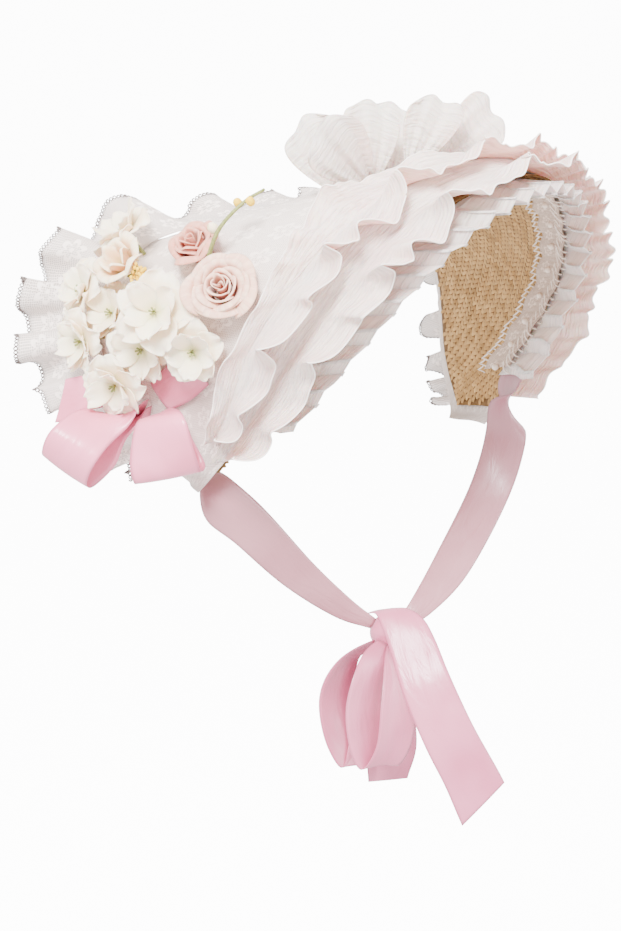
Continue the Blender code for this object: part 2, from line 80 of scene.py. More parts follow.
def readTable(rows, at, column):
    # smooth curve through one column, straight beyond the table's ends
    table = np.array([[float(value) for value in row] for row in rows])
    keys = table[:, 0]
    values = table[:, column]
    last = len(keys) - 1
    before = np.maximum(np.arange(last + 1) - 1, 0)
    after = np.minimum(np.arange(last + 1) + 1, last)
    slopes = (values[after] - values[before]) / (keys[after] - keys[before])
    at = np.asarray(at, float)
    index = np.clip(np.searchsorted(keys, at, side="right") - 1, 0, last - 1)
    span = keys[index + 1] - keys[index]
    part = np.clip((at - keys[index]) / span, 0, 1)
    rise = values[index + 1] - values[index]
    bend = slopes[index] * span * part * (1 - part) ** 2 - slopes[index + 1] * span * part**2 * (1 - part)
    inside = values[index] + rise * part**2 * (3 - 2 * part) + bend
    past = np.where(at > keys[-1], slopes[-1] * (at - keys[-1]), 0)
    return inside + past + np.where(at < keys[0], slopes[0] * (at - keys[0]), 0)


def readPoints(rows, at, first):
    # three columns side by side are x, y and z
    return np.stack([readTable(rows, at, first + i) for i in range(3)], axis=-1)


# the vault of straw that everything lies on: its swell, and the depth from which it swells fully
vault = {"bulge": 8.0, "fullDepth": 140.0}
# angle along the arch, front edge x y z, back edge x y z
edgeRows = (
    (0, -93, -7, 0, -93, 22, -4),
    (20, -87, -50, 50, -105, 44, 18),
    (40, -71, -80, 95, -115, 62, 60),
    (60, -46.5, -99, 127, -88, 60, 95),
    (75, -24, -108, 141, -45, 38, 107),
    (90, 0, -111, 146, 0, 28, 113),
)
mirroredRows = tuple((180 - a, -x, y, z, -p, q, r) for a, x, y, z, p, q, r in reversed(edgeRows[:-1]))
edgeTable = edgeRows + mirroredRows


def edgePoints(angle):
    return readPoints(edgeTable, angle, 1), readPoints(edgeTable, angle, 4)


def depthAt(angle):
    front, back = edgePoints(angle)
    return np.linalg.norm(back - front, axis=-1)


def vaultPoint(angle, inset):
    angle, inset = np.broadcast_arrays(np.asarray(angle, float), np.asarray(inset, float))
    front, back = edgePoints(angle)
    span = np.linalg.norm(back - front, axis=-1)
    part = inset / span
    turn = np.radians(angle)
    outward = np.stack([-np.cos(turn), np.zeros_like(turn), np.sin(turn)], axis=-1)
    bulge = vault["bulge"] * np.minimum(1, span / vault["fullDepth"])
    swell = bulge * np.sin(np.pi * np.clip(part, -0.25, 1.25))
    return front + (back - front) * part[..., None] + outward * swell[..., None]


def vaultFrame(angle, inset):
    # point and its directions: along the arch, to the back and outward
    along = unit(vaultPoint(angle + 1, inset) - vaultPoint(angle - 1, inset))
    back = unit(vaultPoint(angle, inset + 1) - vaultPoint(angle, inset - 1))
    outward = unit(np.cross(along, back))
    return vaultPoint(angle, inset), np.cross(back, outward), back, outward


def onVault(angle, inset, rise):
    point, _, _, outward = vaultFrame(angle, inset)
    rise = np.broadcast_to(np.asarray(rise, float), point.shape[:-1])
    return point + outward * rise[..., None]


def gridOf(columns, rows):
    # a runs along the first axis and b along the second, both from 0 to 1
    return np.meshgrid(np.linspace(0, 1, columns + 1), np.linspace(0, 1, rows + 1), indexing="ij")


def nearAngle(angle):
    return np.minimum(angle, 180 - angle)


# helpers for meshes
def toFrame(points):
    return (np.asarray(points, float) - (0, 0, seatHeight)) * mm


def meshObject(name, points, faces, uv, across):
    mesh = bpy.data.meshes.new(name)
    mesh.from_pydata(toFrame(points).tolist(), [], [tuple(face) for face in faces.tolist()])
    layer = mesh.uv_layers.new(name="cloth")
    corners = np.zeros(len(mesh.loops), dtype=np.int32)
    mesh.loops.foreach_get("vertex_index", corners)
    layer.data.foreach_set("uv", uv[corners].ravel().astype(np.float32))
    share = mesh.attributes.new("across", "FLOAT", "POINT")
    share.data.foreach_set("value", across.ravel().astype(np.float32))
    mesh.shade_smooth()
    made = bpy.data.objects.new(name, mesh)
    scene.collection.objects.link(made)
    return made


def lengthAlong(points, axis):
    # distance along the cloth in centimetres, so that patterns keep their real scale
    steps = np.linalg.norm(np.diff(points, axis=axis), axis=-1)
    steps = np.broadcast_to(steps.mean(axis=1 - axis, keepdims=True), steps.shape)
    total = np.cumsum(steps, axis=axis)
    start = np.zeros_like(np.take(total, [0], axis=axis))
    return np.concatenate([start, total], axis=axis) / 10


def gridFaces(columns, rows, start):
    corner = (np.arange(columns)[:, None] * (rows + 1) + np.arange(rows)[None, :]).ravel() + start
    return np.stack([corner, corner + rows + 1, corner + rows + 2, corner + 1], axis=1)


def sheets(name, grids, thickness):
    # one object from one or more grids of points, given its cloth thickness
    parts = []
    start = 0
    for points in grids:
        columns, rows = points.shape[0] - 1, points.shape[1] - 1
        uv = np.stack([lengthAlong(points, 0), lengthAlong(points, 1)], axis=-1).reshape(-1, 2)
        across = gridOf(columns, rows)[1].ravel()
        parts.append((points.reshape(-1, 3), gridFaces(columns, rows, start), uv, across))
        start += points.shape[0] * points.shape[1]
    made = meshObject(name, *(np.concatenate(part) for part in zip(*parts)))
    if thickness > 0:
        wall = made.modifiers.new("thickness", "SOLIDIFY")
        wall.thickness = thickness * mm
        wall.offset = 0
    return made


def weldAndTurnOut(made, distance=0.01):
    work = bmesh.new()
    work.from_mesh(made.data)
    bmesh.ops.remove_doubles(work, verts=work.verts, dist=distance * mm)
    bmesh.ops.recalc_face_normals(work, faces=work.faces)
    work.to_mesh(made.data)
    work.free()


def tube(path, radii, sides=8):
    # closed tube round a path, its ends drawn in to points
    path = np.asarray(path, float)
    radii = np.broadcast_to(np.asarray(radii, float), (len(path),)).copy()
    radii = np.concatenate([[0.0], radii, [0.0]])
    path = np.concatenate([path[:1], path, path[-1:]])
    tangent = unit(np.gradient(path, axis=0))
    tangent[0] = tangent[1]
    tangent[-1] = tangent[-2]
    guide = np.array([0.31, 0.17, 0.93]) if abs(tangent[1][2]) < 0.9 else np.array([0.9, 0.3, 0.1])
    first = unit(np.cross(tangent, guide))
    second = np.cross(tangent, first)
    turn = np.linspace(0, 2 * np.pi, sides + 1)
    ring = first[:, None] * np.cos(turn)[None, :, None] + second[:, None] * np.sin(turn)[None, :, None]
    return path[:, None] + ring * radii[:, None, None]


def finishPiece(piece, material, slot, *nodes):
    piece.data.materials.clear()
    piece.data.materials.append(material)
    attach(piece, "root")
    if nodes:
        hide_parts(*nodes)
    return piece


def solidPiece(name, parts, material, slot, *nodes, weld=0.001):
    # closed tubes and balls
    made = sheets(name, parts, 0)
    weldAndTurnOut(made, weld)
    return finishPiece(made, material, slot, *nodes)


def feedNode(tree, node, values):
    # each value is another node's socket to link, or a plain number or colour to set
    for key, value in dict(values).items():
        if isinstance(value, bpy.types.NodeSocket):
            tree.links.new(value, node.inputs[key])
        else:
            node.inputs[key].default_value = value


def addNode(tree, kind, values=(), **settings):
    node = tree.nodes.new(kind)
    for key, value in settings.items():
        setattr(node, key, value)
    feedNode(tree, node, values)
    return node


def mathNode(tree, operation, *values):
    return addNode(tree, "ShaderNodeMath", enumerate(values), operation=operation).outputs[0]


def times(tree, first, second):
    return mathNode(tree, "MULTIPLY", first, second)


def newGroup(name, inputs, outputs):
    group = bpy.data.node_groups.new(name, "ShaderNodeTree")
    for socketName, value in inputs.items():
        socket = group.interface.new_socket(name=socketName, in_out="INPUT", socket_type="NodeSocketFloat")
        socket.default_value = value
    for socketName in outputs:
        group.interface.new_socket(name=socketName, in_out="OUTPUT", socket_type="NodeSocketFloat")
    return group, group.nodes.new("NodeGroupInput").outputs, group.nodes.new("NodeGroupOutput")


def clothPlace(tree):
    # the cloth's own length and width in centimetres
    return addNode(tree, "ShaderNodeTexCoord").outputs["UV"]


def splitOf(tree, vector):
    split = addNode(tree, "ShaderNodeSeparateXYZ", {0: vector})
    return split.outputs["X"], split.outputs["Y"]


def buildWeave():
    # fine over-and-under weave, in threads per centimetre
    group, given, end = newGroup("clothWeave", {"Threads": 20.0, "Slub": 0.3}, ("Height",))
    place = clothPlace(group)
    turns = times(group, given["Threads"], 2 * math.pi)
    waves = [mathNode(group, "SINE", times(group, part, turns)) for part in splitOf(group, place)]
    noise = addNode(group, "ShaderNodeTexNoise", {"Vector": place, "Scale": 9.0, "Detail": 3.0})
    slub = times(group, noise.outputs["Fac"], given["Slub"])
    feedNode(group, end, {"Height": mathNode(group, "ADD", times(group, times(group, *waves), 0.5), slub)})
    return group


def buildCrinkle():
    # creases that run across a gathered strip, finer and coarser ones together
    group, given, end = newGroup("gatherCrinkle", {"Creases": 5.0, "Stretch": 0.25}, ("Height",))
    x, y = splitOf(group, clothPlace(group))
    stretched = times(group, given["Stretch"], given["Creases"])
    place = {"X": times(group, x, given["Creases"]), "Y": times(group, y, stretched)}
    vector = addNode(group, "ShaderNodeCombineXYZ", place).outputs[0]
    values = {"Vector": vector, "Scale": 1.0, "Detail": 4.0, "Distortion": 0.6}
    feedNode(group, end, {"Height": addNode(group, "ShaderNodeTexNoise", values).outputs["Fac"]})
    return group


rosette = {"halfLobes": 3.0, "lobeDepth": 0.55, "rimFrom": 0.62, "heart": 0.06}


def buildNet():
    # net of small cells with embroidered rosettes; Thread is 1 on thread and 0 in a hole
    inputs = {"Cells": 7.0, "Thread Width": 0.14, "Motif Pitch": 1.5, "Motif Size": 0.36}
    group, given, end = newGroup("laceNet", inputs, ("Thread", "Motif"))
    place = clothPlace(group)
    cells = {"Vector": place, "Scale": given["Cells"], "Randomness": 0.35}
    net = addNode(group, "ShaderNodeTexVoronoi", cells, feature="DISTANCE_TO_EDGE")
    mesh = mathNode(group, "LESS_THAN", net.outputs["Distance"], given["Thread Width"])
    pitch = {"X": given["Motif Pitch"], "Y": given["Motif Pitch"], "Z": 1.0}
    pitch = addNode(group, "ShaderNodeCombineXYZ", pitch).outputs[0]
    scaled = addNode(group, "ShaderNodeVectorMath", {0: place, 1: pitch}, operation="DIVIDE")
    tile = addNode(group, "ShaderNodeVectorMath", {0: scaled.outputs[0]}, operation="FRACTION")
    x, y = [mathNode(group, "SUBTRACT", part, 0.5) for part in splitOf(group, tile.outputs[0])]
    squares = [mathNode(group, "POWER", part, 2.0) for part in (x, y)]
    radius = mathNode(group, "SQRT", mathNode(group, "ADD", *squares))
    turn = times(group, mathNode(group, "ARCTAN2", y, x), rosette["halfLobes"])
    lobes = times(group, mathNode(group, "ABSOLUTE", mathNode(group, "COSINE", turn)), rosette["lobeDepth"])
    reach = times(group, mathNode(group, "ADD", lobes, 1 - rosette["lobeDepth"]), given["Motif Size"])
    inside = mathNode(group, "LESS_THAN", radius, reach)
    rim = mathNode(group, "GREATER_THAN", radius, times(group, reach, rosette["rimFrom"]))
    heart = mathNode(group, "LESS_THAN", radius, rosette["heart"])
    motif = mathNode(group, "MAXIMUM", times(group, inside, rim), heart)
    feedNode(group, end, {"Thread": mathNode(group, "MAXIMUM", mesh, motif), "Motif": motif})
    return group


print("shader groups")
clothWeave = buildWeave()
gatherCrinkle = buildCrinkle()
laceNet = buildNet()


def startMaterial(name, colour, roughness):
    made = bpy.data.materials.new(name)
    made.use_nodes = True
    shader = made.node_tree.nodes["Principled BSDF"]
    feedNode(made.node_tree, shader, {"Base Color": (*colour, 1), "Roughness": roughness})
    return made, made.node_tree, shader


def useGroup(tree, group, values):
    return addNode(tree, "ShaderNodeGroup", values, node_tree=group).outputs


def mixColours(tree, factor, first, second):
    values = {"Factor": factor}
    for side, value in (("A", first), ("B", second)):
        values[side] = (*value, 1) if isinstance(value, tuple) else value
    return addNode(tree, "ShaderNodeMix", values, data_type="RGBA").outputs["Result"]


def tinted(tree, colour, mask, strength, tint, share=1.0):
    # a darker or lighter tint laid over the colour where the mask is high
    return mixColours(tree, times(tree, mask, strength), colour, tuple(share * value for value in tint))


def bumpFrom(tree, height, strength, distance, before=None):
    values = {"Strength": strength, "Distance": distance * mm, "Height": height}
    if before is not None:
        values["Normal"] = before
    return addNode(tree, "ShaderNodeBump", values).outputs["Normal"]


def softNoise(tree, scale, detail=2.0):
    place = addNode(tree, "ShaderNodeTexCoord").outputs["Object"]
    values = {"Vector": place, "Scale": scale, "Detail": detail}
    return addNode(tree, "ShaderNodeTexNoise", values).outputs["Fac"]


def rampOf(tree, value, low, high):
    values = {"Value": value, "From Min": low, "From Max": high}
    return addNode(tree, "ShaderNodeMapRange", values, interpolation_type="SMOOTHSTEP").outputs["Result"]


def attributeOf(tree, name):
    return addNode(tree, "ShaderNodeAttribute", attribute_name=name).outputs["Fac"]


def clothMaterial(name, light, shade, threads, creases, roughness, soft, creaseDepth=0.5):
    made, tree, shader = startMaterial(name, light, roughness)
    weave = useGroup(tree, clothWeave, {"Threads": threads})["Height"]
    crinkle = useGroup(tree, gatherCrinkle, {"Creases": creases})["Height"]
    lines = useGroup(tree, gatherCrinkle, {"Creases": 0.8, "Stretch": 8.0})["Height"]
    colour = mixColours(tree, rampOf(tree, softNoise(tree, 22.0), 0.35, 0.7), light, shade)
    # painted shade: the colour darkens towards the shade colour in the crinkle's creases and along the long
    # crease lines
    colour = tinted(tree, colour, rampOf(tree, crinkle, 0.35, 0.65), 0.35, shade, 0.93)
    colour = tinted(tree, colour, rampOf(tree, lines, 0.5, 0.62), 0.8, shade, 0.82)
    lined = bumpFrom(tree, lines, 1.0, 4.0 * creaseDepth)
    folded = bumpFrom(tree, crinkle, 0.8, creaseDepth, lined)
    finish = {
        "Sheen Weight": 0.25, "Sheen Roughness": 0.4, "Specular IOR Level": 0.25,
        "Subsurface Weight": soft, "Subsurface Scale": 0.004,
        "Base Color": colour, "Normal": bumpFrom(tree, weave, 0.25, 0.08, folded),
    }
    feedNode(tree, shader, finish)
    return made


def satinMaterial(name, light, deep):
    made, tree, shader = startMaterial(name, light, 0.34)
    weave = useGroup(tree, clothWeave, {"Threads": 26.0, "Slub": 0.1})["Height"]
    folds = useGroup(tree, gatherCrinkle, {"Creases": 0.5, "Stretch": 4.0})["Height"]
    fromMiddle = mathNode(tree, "ABSOLUTE", mathNode(tree, "SUBTRACT", attributeOf(tree, "across"), 0.5))
    selvedge = mathNode(tree, "GREATER_THAN", fromMiddle, 0.47)
    colour = mixColours(tree, rampOf(tree, softNoise(tree, 30.0), 0.3, 0.75), light, deep)
    ridge = bumpFrom(tree, selvedge, 0.6, 0.15, bumpFrom(tree, folds, 0.5, 1.2))
    finish = {"Sheen Weight": 0.06, "Sheen Roughness": 0.3, "Specular IOR Level": 0.7, "Anisotropic": 0.5}
    finish["Base Color"] = tinted(tree, colour, selvedge, 0.5, deep, 0.82)
    finish["Normal"] = bumpFrom(tree, weave, 0.05, 0.03, ridge)
    feedNode(tree, shader, finish)
    return made


def laceMaterial(name, light, holeShade, cells, holeAlpha, motifPitch):
    made, tree, shader = startMaterial(name, light, 0.75)
    net = useGroup(tree, laceNet, {"Cells": cells, "Motif Pitch": motifPitch})
    raised = mathNode(tree, "ADD", net["Thread"], net["Motif"])
    finish = {"Sheen Weight": 0.2, "Normal": bumpFrom(tree, raised, 0.8, 0.3)}
    # painted shade: the holes take a dark colour that stands for the shade seen through the net, as they are
    # opaque or only partly see-through
    finish["Base Color"] = mixColours(tree, net["Thread"], holeShade, light)
    if holeAlpha < 1:
        finish["Alpha"] = mathNode(tree, "MAXIMUM", net["Thread"], holeAlpha)
    feedNode(tree, shader, finish)
    return made


def petalMaterial(name, lip, middle, base):
    # colour deepens from the lip to the foot of a petal, painted shade of the flower's depth (in blossoms and
    # the lotus partly their own yellow heart), with fine veins that fan out along it
    made, tree, shader = startMaterial(name, lip, 0.7)
    along = attributeOf(tree, "across")
    crinkle = useGroup(tree, gatherCrinkle, {"Creases": 9.0, "Stretch": 0.12})["Height"]
    colour = mixColours(tree, rampOf(tree, along, 0.0, 0.45), base, middle)
    colour = mixColours(tree, rampOf(tree, along, 0.35, 1.0), colour, lip)
    finish = {
        "Sheen Weight": 0.2, "Specular IOR Level": 0.3,
        "Subsurface Weight": 0.25, "Subsurface Scale": 0.003,
    }
    finish["Base Color"] = tinted(tree, colour, rampOf(tree, crinkle, 0.42, 0.62), 0.3, middle, 0.92)
    finish["Normal"] = bumpFrom(tree, crinkle, 0.6, 0.3)
    feedNode(tree, shader, finish)
    return made


def plainMaterial(name, light, deep, scale, roughness, depth=0.1):
    made, tree, shader = startMaterial(name, light, roughness)
    mottle = softNoise(tree, scale, 4.0)
    colour = mixColours(tree, rampOf(tree, mottle, 0.3, 0.7), light, deep)
    feedNode(tree, shader, {"Base Color": colour, "Normal": bumpFrom(tree, mottle, 0.4, depth)})
    return made


def strawMaterial(name, light, deep, glint):
    made, tree, shader = startMaterial(name, light, 0.6)
    place = addNode(tree, "ShaderNodeTexCoord").outputs["Object"]
    fine = addNode(tree, "ShaderNodeMapping", {"Vector": place, "Scale": (900, 900, 900)}).outputs[0]
    fibre = addNode(tree, "ShaderNodeTexNoise", {"Vector": fine, "Scale": 1.0, "Detail": 3.0}).outputs["Fac"]
    colour = mixColours(tree, rampOf(tree, softNoise(tree, 160.0), 0.3, 0.7), light, deep)
    colour = tinted(tree, colour, fibre, 0.5, glint)
    finish = {"Specular IOR Level": 0.15, "Normal": bumpFrom(tree, fibre, 0.5, 0.15)}
    finish["Base Color"] = tinted(tree, colour, attributeOf(tree, "tint"), 0.6, glint)
    feedNode(tree, shader, finish)
    return made


print("materials")
strawLook = strawMaterial("plaitedStraw", (0.38, 0.20, 0.065), (0.22, 0.11, 0.032), (0.70, 0.45, 0.19))
# painted shade: the sheet under the plait is made dark to stand for the shade in the gaps between its strands
# and rows
gapShadeLook = strawMaterial("strawGapShade", (0.15, 0.078, 0.026), (0.10, 0.05, 0.016), (0.22, 0.12, 0.04))
chiffonLook = clothMaterial("crinkledChiffon", (0.97, 0.75, 0.67), (0.96, 0.66, 0.62), 24.0, 4.0, 0.75, 0.3)
hemLook = plainMaterial("rolledHem", (0.97, 0.90, 0.84), (0.95, 0.84, 0.78), 500.0, 0.7)
loopLook = clothMaterial("foldedChiffon", (0.96, 0.78, 0.69), (0.95, 0.70, 0.64), 24.0, 2.5, 0.75, 0.3, 0.35)
organzaLook = clothMaterial("pleatedOrganza", (0.76, 0.66, 0.61), (0.68, 0.56, 0.53), 16.0, 3.0, 0.5,
                            0.2, 0.3)
# the second colour of each lace is painted shade for its holes
coverLook = laceMaterial("coverLace", (0.95, 0.84, 0.77), (0.66, 0.55, 0.50), 11.0, 1.0, 1.7)
edgeLook = laceMaterial("edgeLace", (0.93, 0.82, 0.76), (0.50, 0.41, 0.37), 11.0, 0.72, 1.6)
innerLook = laceMaterial("innerLace", (0.74, 0.57, 0.47), (0.40, 0.26, 0.18), 11.0, 0.8, 1.3)
satinLook = satinMaterial("pinkSatin", (0.80, 0.24, 0.36), (0.68, 0.17, 0.27))
chinLook = satinMaterial("chinSatin", (0.60, 0.18, 0.28), (0.50, 0.12, 0.21))
tieLook = satinMaterial("duskySatin", (0.42, 0.18, 0.21), (0.36, 0.14, 0.17))
# the dark foot colours of the rose and rosebud are painted shade between their petals
roseLook = petalMaterial("rosePetals", (0.95, 0.60, 0.46), (0.62, 0.26, 0.18), (0.34, 0.14, 0.10))
budLook = petalMaterial("rosebudPetals", (0.78, 0.36, 0.27), (0.55, 0.19, 0.13), (0.24, 0.08, 0.06))
blossomLook = petalMaterial("blossomPetals", (0.99, 0.83, 0.68), (0.98, 0.80, 0.58), (0.62, 0.52, 0.20))
lotusLook = petalMaterial("lotusPetals", (0.97, 0.78, 0.58), (0.90, 0.58, 0.32), (0.45, 0.38, 0.10))
leafLook = plainMaterial("stemWrap", (0.17, 0.19, 0.045), (0.27, 0.28, 0.09), 700.0, 0.6)
pollenLook = plainMaterial("pollen", (0.82, 0.48, 0.01), (0.90, 0.62, 0.04), 900.0, 0.8)
pearlLook = plainMaterial("pearl", (0.92, 0.80, 0.70), (0.86, 0.72, 0.62), 400.0, 0.15, 0.02)
edgeCordLook = plainMaterial("greyCord", (0.20, 0.16, 0.15), (0.13, 0.10, 0.09), 800.0, 0.7)
cordLook = plainMaterial("cottonCord", (0.93, 0.84, 0.76), (0.84, 0.72, 0.64), 800.0, 0.7)


def buildRepeatTree():
    # items set evenly along a path, turned outwards and varied a little in size and tint
    tree = bpy.data.node_groups.new("repeatAlongPath", "GeometryNodeTree")
    kinds = {
        "Geometry": "Geometry", "Item": "Object", "Pitch": "Float", "Size": "Float",
        "Size Change": "Float", "Seed": "Int", "Material": "Material",
    }
    for name, kind in kinds.items():
        tree.interface.new_socket(name=name, in_out="INPUT", socket_type="NodeSocket" + kind)
    tree.interface.new_socket(name="Geometry", in_out="OUTPUT", socket_type="NodeSocketGeometry")
    given = tree.nodes.new("NodeGroupInput").outputs
    end = tree.nodes.new("NodeGroupOutput")

    def step(kind, values=(), **settings):
        return addNode(tree, kind, values, **settings).outputs

    path = step("GeometryNodeMeshToCurve", {"Mesh": given["Geometry"]})["Curve"]
    path = {"Curve": path, "Length": given["Pitch"]}
    even = step("GeometryNodeResampleCurve", path, mode="LENGTH")["Curve"]
    spots = step("GeometryNodeCurveToPoints", {"Curve": even}, mode="EVALUATED")
    outward = step("GeometryNodeInputNamedAttribute", {"Name": "outward"}, data_type="FLOAT_VECTOR")
    ways = {"Primary Axis": outward["Attribute"], "Secondary Axis": spots["Tangent"]}
    turn = step("FunctionNodeAxesToRotation", ways, primary_axis="Z", secondary_axis="X")["Rotation"]
    least, most = [mathNode(tree, kind, given["Size"], given["Size Change"]) for kind in ("SUBTRACT", "ADD")]
    spread = step("FunctionNodeRandomValue", {2: least, 3: most, "Seed": given["Seed"]}, data_type="FLOAT")[1]
    item = step("GeometryNodeObjectInfo", {"Object": given["Item"]})["Geometry"]
    placing = {"Points": spots["Points"], "Instance": item, "Rotation": turn, "Scale": spread}
    placed = step("GeometryNodeInstanceOnPoints", placing)["Instances"]
    tint = step("FunctionNodeRandomValue", data_type="FLOAT")[1]
    kept = {"Name": "tint", "Geometry": placed, "Value": tint}
    kept = step("GeometryNodeStoreNamedAttribute", kept, data_type="FLOAT", domain="INSTANCE")["Geometry"]
    real = step("GeometryNodeRealizeInstances", {"Geometry": kept})["Geometry"]
    coated = step("GeometryNodeSetMaterial", {"Geometry": real, "Material": given["Material"]})
    feedNode(tree, end, {"Geometry": coated["Geometry"]})
    return tree


repeatTree = buildRepeatTree()


def repeatAlong(name, paths, item, look, material, slot):
    # paths is a list of (points, outward directions); the item is modelled in millimetres at the origin
    edges = []
    start = 0
    for path, _ in paths:
        edges += [(start + i, start + i + 1) for i in range(len(path) - 1)]
        start += len(path)
    mesh = bpy.data.meshes.new(name + "Path")
    mesh.from_pydata(toFrame(np.concatenate([path for path, _ in paths])).tolist(), edges, [])
    outward = np.concatenate([direction for _, direction in paths])
    stored = mesh.attributes.new("outward", "FLOAT_VECTOR", "POINT")
    stored.data.foreach_set("vector", outward.ravel().astype(np.float32))
    carrier = bpy.data.objects.new(name + "Path", mesh)
    scene.collection.objects.link(carrier)
    nodes = carrier.modifiers.new("repeat", "NODES")
    nodes.node_group = repeatTree
    values = {
        "Item": item, "Pitch": look["pitch"] * mm, "Size": 1.0, "Size Change": look["sizeChange"],
        "Seed": look["seed"], "Material": material,
    }
    for socket in repeatTree.interface.items_tree:
        if socket.in_out == "INPUT" and socket.name in values:
            nodes[socket.identifier] = values[socket.name]
    carrier.update_tag()
    bpy.context.view_layer.update()
    mesh = bpy.data.meshes.new_from_object(carrier.evaluated_get(bpy.context.evaluated_depsgraph_get()))
    mesh.name = name
    mesh.shade_smooth()
    bpy.data.objects.remove(carrier)
    made = bpy.data.objects.new(name, mesh)
    scene.collection.objects.link(made)
    return finishPiece(made, material, slot)


def itemObject(name, grids):
    # a small shape to repeat, in millimetres round the origin
    made = sheets(name, [grid + np.array([0, 0, seatHeight]) for grid in grids], 0)
    weldAndTurnOut(made)
    scene.collection.objects.unlink(made)
    return made


strawPiece = {"thickness": 1.3, "rowPitch": 7.6, "relief": 0.2}
# one flat straw of the plait, and the least depth and length of straw that carries a row
strawStrand = {
    "pitch": 3.1, "sizeChange": 0.06, "seed": 4, "length": 4.5, "width": 2.1, "bow": 0.95,
    "offset": 1.6, "slant": 38, "sink": 0.6, "margin": 2.0, "fewestPoints": 5,
}


def buildStrawBase():
    a, b = gridOf(150, 60)
    angle = 180 * a
    inset = depthAt(angle) * b
    relief = strawPiece["relief"] * np.abs(np.cos(np.pi * inset / strawPiece["rowPitch"]))
    # its dark finish is painted shade that shows in the gaps of the plait
    vaultSheet = sheets("strawVault", [onVault(angle, inset, relief)], strawPiece["thickness"])
    finishPiece(vaultSheet, gapShadeLook, "straw", "straw_base")


def strandShape(slant):
    # one flat straw, bowed up in the middle, leaning to one side of the row
    look = strawStrand
    a, b = gridOf(4, 2)
    reach = (a - 0.5) * look["length"]
    side = (b - 0.5) * look["width"] * (1 - 0.5 * (2 * a - 1) ** 2)
    bow = look["bow"] * np.cos(np.pi * (a - 0.5)) * (1 - 0.5 * (2 * b - 1) ** 2)
    cosine, sine = math.cos(math.radians(slant)), math.sin(math.radians(slant))
    y = reach * sine + side * cosine + math.copysign(look["offset"], slant)
    return np.stack([reach * cosine - side * sine, y, bow], axis=-1)


def runsInside(angles, inset):
    # stretches of the arch where the straw is deep enough for this row
    inside = depthAt(angles) > inset + strawStrand["margin"]
    starts = np.flatnonzero(np.diff(inside.astype(int))) + 1
    runs = zip(np.split(angles, starts), np.split(inside, starts))
    return [run for run, fits in runs if len(run) >= strawStrand["fewestPoints"] and fits[0]]


def buildStrawBraid():
    slant = strawStrand["slant"]
    chevron = itemObject("strawChevron", [strandShape(slant), strandShape(-slant)])
    angles = np.linspace(2, 178, 240)
    paths = []
    for row in range(int(depthAt(angles).max() / strawPiece["rowPitch"])):
        inset = strawPiece["rowPitch"] * (row + 0.5)
        for run in runsInside(angles, inset):
            paths.append((onVault(run, inset, -strawStrand["sink"]), -vaultFrame(run, inset)[3]))
    repeatAlong("strawBraid", paths, chevron, strawStrand, strawLook, "straw")


print("straw")
buildStrawBase()
buildStrawBraid()


# lace over the straw, the ruffle round its back edge and the thread loops on the ruffle's hem
laceCover = {"start": 12.0, "endStart": 1.0, "pastEdge": 6.0, "thickness": 0.5, "puff": 0.35}
laceEdge = {
    "waves": 20, "waver": 0.5, "waverTurns": 4.3, "inset": 9.0, "thickness": 0.4, "swing": 2.4,
    "scallops": 3, "scallopDepth": 1.8, "lobe": 0.06, "flutter": 3.0,
}
picots = {"pitch": 1.9, "sizeChange": 0.1, "seed": 7, "reach": 2.0, "width": 1.5, "radius": 0.38}
# angle, width, lowest lean and highest lean
laceRows = (
    (0, 32, 5, 22),
    (20, 36, 5, 22),
    (40, 44, 9, 32),
    (60, 42, 15, 42),
    (75, 28, 12, 34),
    (90, 18, 8, 24),
)


def buildLaceCover():
    look = laceCover
    a, b = gridOf(220, 60)
    angle = blendTo(-5.0, 185.0, a)
    start = blendTo(look["endStart"], look["start"], smoothStep(8, 20, nearAngle(angle)))
    inset = blendTo(start, depthAt(angle) + look["pastEdge"], b)
    puff = look["puff"] * np.sin(angle * 1.9) * np.sin(inset * 0.16 + angle * 0.2)
    cover = sheets("laceCover", [onVault(angle, inset, outerSeat + coverEase + puff)], look["thickness"])
    finishPiece(cover, coverLook, "lace", "lace_cover")


def ruffle(angle, inset, seat, way, reach, lean):
    # stands on the vault: lean is measured from its surface, forward when way is -1
    point, _, back, outward = vaultFrame(angle, inset)
    turn = np.radians(lean)
    rise = seat + reach * np.sin(turn)
    return point + outward * rise[..., None] + back * (way * reach * np.cos(turn))[..., None]


def buildLaceEdge():
    look = laceEdge
    a, b = gridOf(720, 16)
    angle = blendTo(1.0, 179.0, a)
    near = nearAngle(angle)
    inset = depthAt(angle) - look["inset"]
    width, low, high = [readTable(laceRows, near, column) for column in (1, 2, 3)]
    phase = 2 * np.pi * look["waves"] * a + look["waver"] * np.sin(2 * np.pi * look["waverTurns"] * a)
    wave = np.sin(phase) * np.minimum(1.0, 1.6 * b**1.3) ** 0.7
    lean = (low + high) / 2 + (high - low) / 2 * wave + look["flutter"] * np.sin(1.7 * phase + 1) * b**2
    scallop = np.abs(np.sin(phase * look["scallops"] / 2)) ** 0.7 * smoothStep(0.8, 1, b)
    lobe = look["lobe"] * width * np.sin(phase) ** 2 * b**2
    reach = width * b + look["scallopDepth"] * (scallop - b) - lobe
    points = ruffle(angle, inset, secondSeat, 1, reach, lean)
    swing = look["swing"] * blendTo(0.35, 1.0, smoothStep(8, 35, near))
    along = vaultFrame(angle, inset)[1]
    points = points - along * (swing * np.sin(2 * phase) * b**1.6)[..., None]
    edge = sheets("laceEdge", [points], look["thickness"])
    finishPiece(edge, edgeLook, "lace", "lace_edge")
    hem = [(points[:, -1], unit(points[:, -1] - points[:, -3]))]
    repeatAlong("laceEdgePicots", hem, picotLoop, picots, edgeCordLook, "lace")


